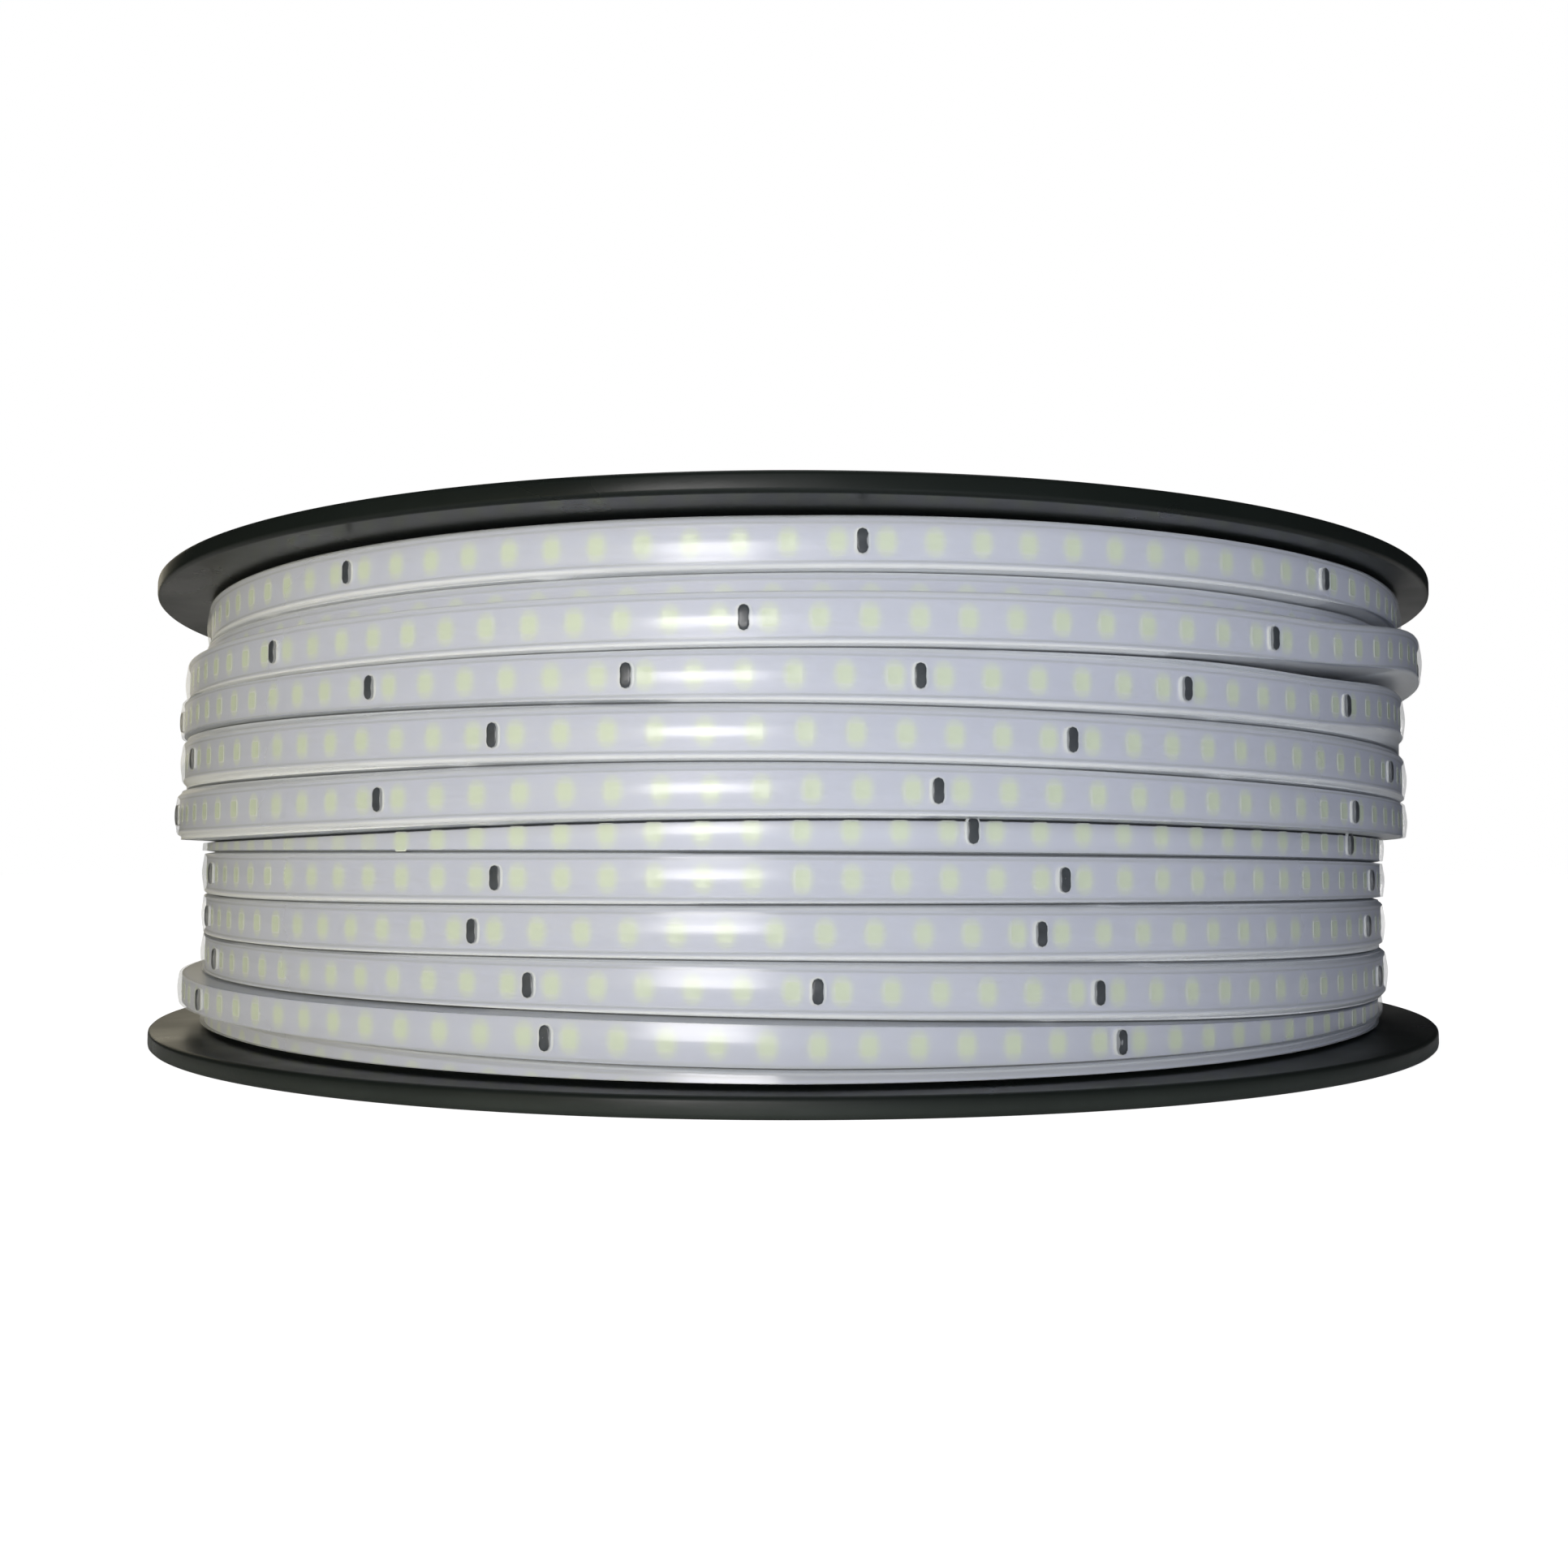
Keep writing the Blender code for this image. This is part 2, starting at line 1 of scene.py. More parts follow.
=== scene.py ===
# %% [markdown]
# # A reel of flat LED rope light
#
# A flat tube of milky PVC, with a white circuit board and its lights moulded in, is wound
# turn on turn on a black spool. This lesson dresses a plain CAD model of that reel: the
# frame gives the real sizes and places, and each cell below adds one piece or one finish.
# Everything is in metres. +Z runs up the reel's axle, and -Y is the front.

# %% The frame
import math

import bmesh
import bpy
import numpy as np
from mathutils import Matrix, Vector


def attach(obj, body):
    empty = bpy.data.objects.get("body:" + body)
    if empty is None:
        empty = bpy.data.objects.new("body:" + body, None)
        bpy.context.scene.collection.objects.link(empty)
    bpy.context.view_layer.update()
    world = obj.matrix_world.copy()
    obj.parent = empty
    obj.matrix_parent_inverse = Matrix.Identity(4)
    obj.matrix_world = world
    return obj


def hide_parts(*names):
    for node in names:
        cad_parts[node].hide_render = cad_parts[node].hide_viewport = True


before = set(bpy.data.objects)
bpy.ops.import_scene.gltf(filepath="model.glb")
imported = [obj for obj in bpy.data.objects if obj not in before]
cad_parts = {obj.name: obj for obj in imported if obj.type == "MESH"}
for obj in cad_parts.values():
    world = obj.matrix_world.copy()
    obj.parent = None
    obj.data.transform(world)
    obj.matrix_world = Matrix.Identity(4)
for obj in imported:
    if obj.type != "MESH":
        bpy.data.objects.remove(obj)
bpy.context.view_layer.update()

MM = 0.001
node_names = sorted(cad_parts)
print("CAD nodes:", node_names)

# %% [markdown]
# ## How the rope was laid
#
# A machine winds the inner layers evenly, but the last turns are guided by hand. Some ride
# one layer higher than their neighbours, one climbs out under the rim, and each drops to
# the next as it goes round. It could be drawn turn by turn, but the rope is one length, so
# it is easier as one helix: the height of its upper edge and its radius are functions of
# how many turns have gone by. The CAD solid has the same lay, but for the lift and the gap
# at the right.

# %% The lay of the visible turns
ROPE_WIDTH = 9.3 * MM
ROPE_THICKNESS = 5.0 * MM
FLANGE_THICKNESS = 3.8 * MM
SEAT_GAP = 0.3 * MM
CORE_RADIUS = 74.2 * MM
FULL_RADIUS = 144.5 * MM
WOUND_LOW = FLANGE_THICKNESS + SEAT_GAP
WOUND_WIDTH = 95.4 * MM
WOUND_HIGH = WOUND_LOW + WOUND_WIDTH
REEL_HEIGHT = WOUND_HIGH + SEAT_GAP + FLANGE_THICKNESS

# Upper edge of each turn at the left, the front and the right, out of LAY_SPAN for the
# whole winding, and then the layers that it lies above the last full one there.
LAY = (
    (10.22, 10.22, 10.22, 0.0, 0.0, 1.0),
    (9.11, 9.16, 9.29, 0.0, 0.0, 0.2),
    (8.66, 8.74, 8.81, 0.9, 1.0, 1.8),
    (7.68, 7.72, 7.82, 1.0, 1.0, 1.0),
    (6.85, 6.74, 6.55, 1.0, 1.0, 1.0),
    (5.58, 5.76, 5.37, 1.2, 1.0, 1.0),
    (4.35, 4.77, 4.51, 0.0, 0.0, 0.0),
    (4.14, 4.10, 3.97, 0.0, 0.0, 0.0),
    (3.09, 3.17, 3.11, 0.0, 0.0, 0.0),
    (2.14, 2.19, 1.87, 0.0, 0.0, 0.0),
    (1.27, 1.16, 0.69, 1.0, 0.9, -0.2),
    (0.58, 0.26, 0.29, 0.0, 0.9, -0.3),
)
LAST_EDGE = 0.03
LAY_SPAN = 10.26
TURNS = len(LAY)
STATION_ANGLE = 50.0
RAMP_ANGLE = 40.0
SMOOTHING_ANGLE = 20.0
SMOOTHING_SAMPLES = 9
CUT_TURN = 5
CUT_ANGLE = 150.0
CUT_STEP = 0.5

# At the right the third turn in sight lifts off its neighbours: what its edges gain, and
# half of the gap that opens under it.
LIFTS = {1: 1.5 * MM, 2: 4.5 * MM, 3: 2.6 * MM}
LIFT_ANGLES = (38.0, 64.0, 76.0, 130.0)
GAP_UNDER = 3
GAP_HALF = 0.9 * MM
GAP_ANGLES = (27.0, 50.0, 80.0, 130.0)

side = STATION_ANGLE / 360.0
stations = [turn + at for turn in range(TURNS) for at in (-side, 0.0, side)]


def swell(turns, edge, angles):
    """Rises smoothly from nothing to one and falls back, over four angles on one edge."""
    share = np.interp((np.asarray(turns, float) - edge) * 360.0, angles, (0, 1, 1, 0))
    return share * share * (3 - 2 * share)


def edge_height(turns):
    """Height of a turn's upper edge: straight lines between stations, averaged over a short
    arc, and the lifts at the right."""
    turns = np.asarray(turns, float)
    heights = [value for row in LAY for value in row[:3]] + [LAST_EDGE]
    spread = SMOOTHING_ANGLE / 360.0
    shifts = np.linspace(-spread, spread, SMOOTHING_SAMPLES)
    joined = [np.interp(turns + shift, stations + [float(TURNS)], heights) for shift in shifts]
    lift = sum(high * swell(turns, edge, LIFT_ANGLES) for edge, high in LIFTS.items())
    return WOUND_LOW + WOUND_WIDTH * np.mean(joined, axis=0) / LAY_SPAN + lift


def turn_radius(turns):
    """Outer radius of the rope: its layer times its thickness, sunk by one layer at both ends."""
    cut = CUT_TURN + CUT_ANGLE / 360.0
    ramp = RAMP_ANGLE / 360.0
    keyed = list(zip(stations, (value for row in LAY for value in row[3:])))
    keyed += [(-0.5, -1.0), (-0.5 + ramp, 0.0)]
    keyed += [(TURNS - 0.5 - ramp, LAY[-1][5]), (TURNS - 0.5, -1.0)]
    keyed += [(cut, LAY[CUT_TURN][5]), (cut + CUT_STEP / 360.0, LAY[CUT_TURN + 1][3])]
    keyed.sort()
    at, layers = zip(*keyed)
    return FULL_RADIUS + ROPE_THICKNESS * np.interp(turns, at, layers)


def round_the_axle(radius, degrees, height):
    """Points at a radius, an angle counted from the front towards +X, and a height."""
    angle = np.radians(degrees)
    flat = np.broadcast_arrays(radius * np.sin(angle), -radius * np.cos(angle), height)
    return np.stack(flat, axis=-1)


print("the rope's edge falls from", round(float(edge_height(0)) / MM, 1), "to",
      round(float(edge_height(TURNS)) / MM, 1), "mm in", TURNS, "turns")

# %% [markdown]
# ## Where the lights sit along and across the rope
#
# The board carries 120 lights a metre, and every twelfth gap between two of them holds a
# dark resistor. Positions along the rope are counted in light spacings. A real winding
# brings the resistors to chance places, so the count is pinned at one resistor in each
# turn that shows at the front, and the small difference is spread over the turn's back.
# Across the rope, a turn that dives under its neighbour shows only part of its width, so
# the middle of the board is counted from the edge that is in sight.

# %% Along and across the rope
PITCH = 1000.0 * MM / 120
EVERY = 12
PINS = (
    (0, 4.62), (1, 26.66), (2, -3.12), (3, 8.07), (4, 18.36), (5, 9.18),
    (6, 12.11), (7, -20.86), (8, 16.99), (9, 21.42), (10, 22.6), (11, 10.0),
)
HELD_ANGLE = 75.0
LENGTH_STEPS = 720
SEARCH_STEPS = 1440
TUCKED_BELOW = (1, 11)
TUCKED_ABOVE = (6,)
TUCKED_DROP = 1.95 * MM

fine = np.arange(-0.5, TURNS + 0.5, 1 / LENGTH_STEPS)
steps = 2 * np.pi * turn_radius(fine[:-1]) / LENGTH_STEPS
run = np.concatenate([[0], np.cumsum(steps)]) / PITCH


def count_along(turns):
    """Light spacings from the rope's start: path length over the pitch, moved so that each
    turn's pinned resistor falls on a whole multiple of EVERY."""
    held = HELD_ANGLE / 360.0
    at, moved = [], []
    for turn, degrees in PINS:
        plain = np.interp(turn + degrees / 360.0, fine, run)
        wanted = EVERY / 2 * round(plain / (EVERY / 2))
        at += [turn - held, turn + held]
        moved += [wanted - plain] * 2
    return np.interp(turns, fine, run) + np.interp(turns, at, moved)


def middle_height(turns):
    """Height of the board's middle: half-way down the turn, or half a rope's width from the
    edge that shows where the other is tucked behind a neighbour."""
    at, below = [], []
    for k in range(TURNS):
        for place in (k - side, k, k + side):
            width = float(edge_height(place) - edge_height(place + 1))
            if k in TUCKED_BELOW:
                drop = ROPE_WIDTH / 2
            elif k in TUCKED_ABOVE:
                drop = max(width - ROPE_WIDTH / 2, TUCKED_DROP)
            else:
                drop = width / 2
            at.append(place)
            below.append(drop)
    return edge_height(turns) - np.interp(turns, at, below)


searched = np.arange(-0.49, TURNS - 0.51, 1 / SEARCH_STEPS)
searched_counts = count_along(searched)
print("light spacings on the turns in sight:", int(count_along(TURNS - 0.5)))

# %% [markdown]
# ## Meshes from grids
#
# Every new piece starts as a grid of points worked out as whole arrays. The faces between
# the grid's rows and columns are index arrays too, so nothing loops over vertices.

# %% Helpers that turn arrays into objects


def add_piece(name, points, faces, finishes, slots=None, uv=None, smooth=60.0):
    """Makes an object from points and faces. uv holds one pair for each face corner, in
    millimetres along and across, and slots says which finish each face has."""
    mesh = bpy.data.meshes.new(name)
    mesh.from_pydata(np.asarray(points).reshape(-1, 3).tolist(), [], faces)
    for finish in finishes:
        mesh.materials.append(finish)
    if slots is not None:
        mesh.polygons.foreach_set("material_index", np.asarray(slots, np.int32))
    if uv is not None:
        layer = mesh.uv_layers.new(name="rope")
        layer.data.foreach_set("uv", np.asarray(uv, np.float32).ravel())
    mesh.shade_smooth()
    mesh.set_sharp_from_angle(angle=math.radians(smooth))
    piece = bpy.data.objects.new(name, mesh)
    bpy.context.scene.collection.objects.link(piece)
    return piece


def outwards(piece):
    """Turns every face of a closed piece to point outwards."""
    bm = bmesh.new()
    bm.from_mesh(piece.data)
    bmesh.ops.recalc_face_normals(bm, faces=bm.faces)
    bm.to_mesh(piece.data)
    bm.free()


def stands_for(piece, cad_name):
    """Puts a new piece in the place of a CAD node."""
    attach(piece, "root")
    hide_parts(cad_name)
    print(piece.name, "has", len(piece.data.polygons), "faces")


def srgb(code):
    """Turns an sRGB hex value into linear red, green, blue and full alpha."""
    parts = [int(code[i:i + 2], 16) / 255 for i in (1, 3, 5)]
    linear = [c / 12.92 if c <= 0.04045 else ((c + 0.055) / 1.055) ** 2.4 for c in parts]
    return (*linear, 1.0)


def node(tree, kind, inputs=(), **settings):
    """Adds a node, sets its own settings, and sets or links each input that is given."""
    made = tree.nodes.new(kind)
    for name, value in settings.items():
        setattr(made, name, value)
    for key, value in dict(inputs).items():
        if isinstance(value, bpy.types.NodeSocket):
            tree.links.new(value, made.inputs[key])
        else:
            made.inputs[key].default_value = value
    return made


def new_material(name):
    """An empty material with its node tree, its shader and where the shader's colour goes."""
    made = bpy.data.materials.new(name)
    made.use_nodes = True
    return made, made.node_tree, made.node_tree.nodes["Principled BSDF"]


def clouded_finish(name, scale, detail, dark, pale, gloss=None):
    """A material whose colour wanders in clouds between two hex colours, and its roughness
    between the two values of gloss, if they are given. Gives back the clouds' socket too."""
    made, tree, shader = new_material(name)
    place = node(tree, "ShaderNodeTexCoord")
    cloud = node(
        tree, "ShaderNodeTexNoise",
        {"Vector": place.outputs["Object"], "Scale": scale, "Detail": detail},
    ).outputs["Fac"]
    tone = node(
        tree, "ShaderNodeMix", {0: cloud, 6: srgb(dark), 7: srgb(pale)}, data_type="RGBA"
    )
    tree.links.new(tone.outputs[2], shader.inputs["Base Color"])
    if gloss:
        rough = node(
            tree, "ShaderNodeMapRange", {"Value": cloud, "To Min": gloss[0], "To Max": gloss[1]}
        )
        tree.links.new(rough.outputs[0], shader.inputs["Roughness"])
    return made, tree, shader, cloud


# %% [markdown]
# ## The circuit board, seen through the tube
#
# The board is a flexible strip with white solder mask, which the bluish tube tints towards
# lavender. A copper conductor runs along each side of it, and shows as a thin grey line.
# Outside the conductors the tube is solid. Its lower wall is painted near white, as a painted
# highlight, its upper wall is painted greyer, as painted shade, and the groove between two
# turns is painted dark grey, as painted shade. Round each light the yellow phosphor colours
# the board a little. All of this follows the rope, so it is drawn from the piece's own UV
# map, which holds real millimetres along and across it.

# %% White solder mask under PVC
# Half widths and distances from the board's middle, in millimetres like the UV map.
BOARD_HALF = 3.5
CONDUCTOR_AT = 3.3
LINE_ENDS, LINE_FULL = 0.31, 0.07
WALL_FROM = 4.0
GROOVE_FROM = 6.2
GROOVE_ACROSS = 8.0
GLOW_ALONG = 1.9
GLOW_ACROSS = 2.6
# Where a halo ends and where it is full, as shares of its own half width.
GLOW_ENDS, GLOW_FULL = 1.25, 0.8


def lines_and_glow(tree):
    """Sockets for the UV map and for five masks from nothing to one: near a light, on a
    conductor's line, on the upper and lower wall, and down in the groove between turns."""
    uv = node(tree, "ShaderNodeUVMap", uv_map="rope")
    split = node(tree, "ShaderNodeSeparateXYZ", {0: uv.outputs["UV"]})
    across = node(tree, "ShaderNodeMath", {0: split.outputs["Y"]}, operation="ABSOLUTE")
    along, beside = split.outputs["X"], across.outputs[0]
    for operation, number in (
        ("DIVIDE", PITCH / MM), ("FRACT", 0.0), ("SUBTRACT", 0.5),
        ("MULTIPLY", PITCH / MM / GLOW_ALONG),
    ):
        step = node(tree, "ShaderNodeMath", {0: along, 1: number}, operation=operation)
        along = step.outputs[0]
    for operation, number in (("SUBTRACT", CONDUCTOR_AT), ("ABSOLUTE", 0.0)):
        step = node(tree, "ShaderNodeMath", {0: beside, 1: number}, operation=operation)
        beside = step.outputs[0]
    aside = node(
        tree, "ShaderNodeMath", {0: split.outputs["Y"], 1: GLOW_ACROSS}, operation="DIVIDE"
    )
    reach = node(tree, "ShaderNodeCombineXYZ", {0: along, 1: aside.outputs[0], 2: 0.0})
    far = node(tree, "ShaderNodeVectorMath", {0: reach.outputs[0]}, operation="LENGTH")
    return [uv.outputs["UV"]] + [
        node(
            tree, "ShaderNodeMapRange",
            {"Value": value, "From Min": start, "From Max": end},
            interpolation_type="SMOOTHSTEP",
        ).outputs[0]
        for value, start, end in (
            (far.outputs["Value"], GLOW_ENDS, GLOW_FULL),
            (beside, LINE_ENDS, LINE_FULL),
            (split.outputs["Y"], BOARD_HALF, WALL_FROM),
            (split.outputs["Y"], -BOARD_HALF, -WALL_FROM),
            (across.outputs[0], GROOVE_FROM, GROOVE_ACROSS),
        )
    ]


def board_material():
    """White solder mask under milky PVC, with conductors, yellow halos, a painted highlight on the
    lower wall, and painted shade on the upper wall and in the grooves.
    """
    made, tree, shader = new_material("solder_mask_under_pvc")
    uv, glow, line, upper, lower, groove = lines_and_glow(tree)
    cloud = node(tree, "ShaderNodeTexNoise", {"Vector": uv, "Scale": 0.06, "Detail": 4.0})
    tone = node(
        tree, "ShaderNodeMix",
        {0: cloud.outputs["Fac"], 6: srgb("#BFC2D9"), 7: srgb("#CED0E3")}, data_type="RGBA",
    ).outputs[2]
    # The lower wall's near white is a painted highlight, and the upper wall's grey and the groove's
    # dark grey are painted shade.
    for mask, colour in (
        (glow, "#D3DBCB"), (line, "#ABAFB8"), (upper, "#C6C9D2"), (lower, "#FBFCFE"),
        (groove, "#85888F"),
    ):
        tone = node(
            tree, "ShaderNodeMix", {0: mask, 6: tone, 7: srgb(colour)}, data_type="RGBA"
        ).outputs[2]
    tree.links.new(tone, shader.inputs["Base Color"])
    shader.inputs["Roughness"].default_value = 0.34
    shader.inputs["IOR"].default_value = 1.5
    return made


# %% [markdown]
# ## The milky PVC of the tube
#
# The tube is plasticised PVC, extruded hot over the board. Extrusion leaves it smooth, with
# very faint lines along its length, and handling leaves it a little hazy. Glass-like
# transmission would be slow and would darken the board, so the haze is a thin pale layer
# that lets most of what lies behind it through.

# %% Extruded milky PVC
HAZE = 0.35


def pvc_material():
    """A pale, mostly clear layer whose gloss changes in faint lines along the rope."""
    made, tree, shader = new_material("extruded_milky_pvc")
    uv = node(tree, "ShaderNodeUVMap", uv_map="rope")
    stretched = node(
        tree, "ShaderNodeMapping", {"Vector": uv.outputs["UV"], "Scale": (0.02, 1.1, 1.0)}
    )
    lines = node(
        tree, "ShaderNodeTexNoise",
        {"Vector": stretched.outputs[0], "Scale": 1.0, "Detail": 3.0},
    )
    gloss = node(
        tree, "ShaderNodeMapRange",
        {"Value": lines.outputs["Fac"], "From Min": 0.3, "From Max": 0.7, "To Min": 0.15,
         "To Max": 0.24},
    )
    tree.links.new(gloss.outputs[0], shader.inputs["Roughness"])
    bump = node(
        tree, "ShaderNodeBump",
        {"Height": lines.outputs["Fac"], "Strength": 0.02, "Distance": 0.1 * MM},
    )
    tree.links.new(bump.outputs[0], shader.inputs["Normal"])
    shader.inputs["Base Color"].default_value = srgb("#E4E7EC")
    shader.inputs["Alpha"].default_value = HAZE
    shader.inputs["IOR"].default_value = 1.6
    shader.inputs["Specular IOR Level"].default_value = 1.0
    return made


# %% [markdown]
# ## The wound rope
#
# Seen across, the tube's face is a low dome, and its corners are rounded where it meets the
# next turn. The outer skin follows that section. The body under it has the same corners,
# but a flat floor one millimetre down, where the board lies. Both are one strip each: turn
# k's lower groove is turn k+1's upper groove, so the strip closes on itself all the way
# down, and plain rings close it under the flanges and inside.

# %% The section and the strip
STEPS = 288
ACROSS = 20
DOME = 0.45 * MM
CORNER = 0.9 * MM
BOARD_DEPTH = 1.0 * MM
BODY_DEPTH = 0.12 * MM
GROOVE_SINK = 1.4 * MM
GROOVE_HALF = 0.36 * MM
END_SETBACK = 1.3 * MM


def section_drop(across):
    """How far the face lies below the rope's own radius: half a cosine wave from the middle
    to the edge, plus a quarter round at the corners."""
    across = np.minimum(np.abs(across), ROPE_WIDTH / 2)
    wave = DOME * (1 - np.cos(2 * np.pi * across / ROPE_WIDTH)) / 2
    past = np.clip(across - (ROPE_WIDTH / 2 - CORNER), 0, CORNER)
    return wave + CORNER - np.sqrt(CORNER ** 2 - past ** 2)


def body_drop(across):
    """The same for the body under the skin: a flat floor for the board between two walls."""
    under = section_drop(across) + BODY_DEPTH
    floor = np.maximum(under, BOARD_DEPTH)
    share = np.clip((np.abs(across) / MM - BOARD_HALF) / (WALL_FROM - BOARD_HALF), 0, 1)
    return floor + (under - floor) * share


def wound_strip(drop):
    """Points, faces and UV pairs of the helix, with a section given by how far it drops."""
    even = np.arange(STEPS) * 360.0 / STEPS - 180.0
    angles = np.sort(np.append(even, CUT_ANGLE + CUT_STEP))
    around = len(angles)
    places = (np.arange(TURNS + 1)[:, None] + angles / 360.0).ravel()
    swing = np.tile(angles, TURNS + 1)
    count = TURNS * around
    here = places[:count]
    top, bottom = edge_height(here), edge_height(here + 1.0)
    middle, radius = middle_height(here), turn_radius(here)
    spread = (1 - np.cos(np.linspace(0, np.pi, ACROSS))) / 2
    over = top - GROOVE_HALF - GAP_HALF * swell(here, GAP_UNDER, GAP_ANGLES)
    under = bottom + GROOVE_HALF + GAP_HALF * swell(here, GAP_UNDER - 1, GAP_ANGLES)
    height = over[:, None] + (under - over)[:, None] * spread
    across = height - middle[:, None]
    section = radius[:, None] - drop(across)
    face = round_the_axle(section, swing[:count, None], height)
    rope_radius = turn_radius(places)
    upper = np.roll(rope_radius, around)
    upper[:around] = rope_radius[:around]
    sink = GROOVE_SINK + 2 * ROPE_THICKNESS * swell(places, GAP_UNDER, GAP_ANGLES)
    shallow = np.minimum(rope_radius, upper) - drop(np.array(ROPE_WIDTH / 2)) - sink
    groove = round_the_axle(shallow, swing, edge_height(places))
    inside = np.full(around, CORE_RADIUS + SEAT_GAP)
    setback = np.full(around, shallow.min() - END_SETBACK)
    rings = [
        round_the_axle(r, angles, z)
        for r, z in ((setback, WOUND_HIGH), (inside, WOUND_HIGH), (inside, WOUND_LOW),
                     (setback, WOUND_LOW))
    ]
    points = np.concatenate([groove, face.reshape(-1, 3), *rings])
    face_start = len(groove)
    ring_start = face_start + count * ACROSS
    index = np.concatenate([
        np.arange(count)[:, None],
        face_start + np.arange(count * ACROSS).reshape(count, ACROSS),
        np.arange(count)[:, None] + around,
    ], axis=1)
    quads = np.stack(
        [index[:-1, :-1], index[:-1, 1:], index[1:, 1:], index[1:, :-1]], axis=-1
    ).reshape(-1, 4)
    along = count_along(here) * PITCH / MM
    # The groove's points sit far out across the UV map, where the board's painted shade is darkest.
    groove_across = np.full((count, 1), GROOVE_ACROSS)
    wide = np.concatenate([groove_across, across / MM, -groove_across], axis=1)
    far = np.broadcast_to(along[:, None], wide.shape)
    corner = np.stack([far, wide], axis=-1)
    uv = np.stack(
        [corner[:-1, :-1], corner[:-1, 1:], corner[1:, 1:], corner[1:, :-1]], axis=2
    ).reshape(-1, 2)
    ring = [ring_start + k * around + np.arange(around) for k in range(4)]
    first = np.arange(around + 1)
    last = len(groove) - around - 1 + np.arange(around + 1)
    after = (np.arange(around) + 1) % around
    before = np.arange(around) - 1
    closing = [
        np.stack([ring[0], first[:-1], first[1:], ring[0][after]], axis=1),
        np.stack([ring[3][before], ring[3], last[1:], last[:-1]], axis=1),
    ]
    for a, b in ((0, 1), (1, 2), (2, 3)):
        closing.append(np.stack([ring[a], ring[a][after], ring[b][after], ring[b]], axis=1))
    plain = np.concatenate(closing)
    ends = [
        [int(ring[0][0]), *index[0][::-1].tolist()],
        [*index[-1].tolist(), int(ring[3][-1])],
    ]
    faces = quads.tolist() + plain.tolist() + ends
    loops = 4 * len(plain) + sum(len(end) for end in ends)
    return points, faces, np.concatenate([uv, np.zeros((loops, 2))])


for name, drop, finish in (
    ("rope_turns", body_drop, board_material()),
    ("rope_skin", section_drop, pvc_material()),
):
    points, faces, uv = wound_strip(drop)
    piece = add_piece(name, points, faces, [finish], uv=uv)
    outwards(piece)
    stands_for(piece, "rope_winding")

# %% [markdown]
# ## The lights
#
# Each light is a white moulded housing, 3.5 by 2.8 mm, with a window of yellow phosphor in
# its top. There are more than a thousand in sight, so one small housing of a few dozen
# faces is worked out once, and whole arrays put it at each place along the rope.

# %% Surface-mounted lights
CHIP_ALONG = 2.8 * MM
CHIP_ACROSS = 3.5 * MM
CHIP_HEIGHT = 0.12 * MM
SUNK = 0.05 * MM
SHOWN_OVER = 1.6 * MM
SHOWN_UNDER = 1.7 * MM

# The housing's rings from its foot to the floor of its window: how far each is drawn in
# along and across, its corner, all in millimetres, and its share of the height.
CHIP_RINGS = (
    (0.0, 0.0, 0.3, 0.0), (0.0, 0.0, 0.3, 0.8), (0.1, 0.1, 0.3, 1.0),
    (0.2, 0.25, 0.45, 1.0), (0.28, 0.33, 0.45, 0.9),
)
WINDOW_RING = 3


def rounded_ring(half_along, half_across, corner, height, steps=2):
    """Points of a rectangle with rounded corners: each corner is a quarter circle."""
    quarter = np.radians(np.arange(steps + 1) * 90.0 / steps)
    angle = (np.radians([[0.0], [90.0], [180.0], [270.0]]) + quarter).ravel()
    sign_along = np.repeat([1, -1, -1, 1], steps + 1)
    sign_across = np.repeat([1, 1, -1, -1], steps + 1)
    return np.stack([
        sign_along * (half_along - corner) + corner * np.cos(angle),
        sign_across * (half_across - corner) + corner * np.sin(angle),
        np.full(len(angle), height),
    ], axis=-1)


def stacked(rings):
    """Points and faces of a closed body through rings of equal length, with capped ends."""
    count = len(rings[0])
    k = np.arange(count)
    faces = []
    for level in range(len(rings) - 1):
        low, high = level * count, (level + 1) * count
        faces += np.stack(
            [low + k, low + (k + 1) % count, high + (k + 1) % count, high + k], axis=1
        ).tolist()
    faces.append(k[::-1].tolist())
    faces.append(((len(rings) - 1) * count + k).tolist())
    return np.concatenate(rings), faces


def placed(template, faces, turns, depth):
    """Copies a small body to each place along the rope. Its first axis runs along the rope,
    its second up across it, and its third out of it."""
    radius = turn_radius(turns) - depth
    angle = np.radians((turns - np.round(turns)) * 360.0)
    along = np.stack([np.cos(angle), np.sin(angle), 0 * angle], axis=-1)
    out = np.stack([np.sin(angle), -np.cos(angle), 0 * angle], axis=-1)
    up = np.array([0.0, 0.0, 1.0])
    seat = out * radius[:, None] + up * middle_height(turns)[:, None]
    points = (
        seat[:, None] + template[None, :, 0:1] * along[:, None]
        + template[None, :, 1:2] * up + template[None, :, 2:3] * out[:, None]
    )
    shift = len(template) * np.arange(len(turns))[:, None]
    copies = [copy for face in faces for copy in (np.asarray(face)[None] + shift).tolist()]
    return points.reshape(-1, 3), copies


def in_sight(turns, over=SHOWN_OVER, under=SHOWN_UNDER):
    """Keeps the places where the board's middle lies well inside its own turn: at least
    `over` under the turn's upper edge, and `under` above its lower one."""
    middle = middle_height(turns)
    under_top = edge_height(turns) - middle > over
    over_bottom = middle - edge_height(turns + 1.0) > under
    return turns[under_top & over_bottom & (turns < TURNS - 1.5)]


def light_places():
    """Turns at which the count along the rope is a whole number and a half."""
    first, last = math.ceil(searched_counts[0]), math.floor(searched_counts[-1])
    wanted = np.arange(first, last) + 0.5
    return in_sight(np.interp(wanted, searched_counts, searched))


def housing_material():
    """Heat-proof white nylon, moulded: bright and satin."""
    made, _, shader, _ = clouded_finish("moulded_white_nylon", 900.0, 2.0, "#DDE3D8", "#E6EAE0")
    shader.inputs["Roughness"].default_value = 0.4
    return made


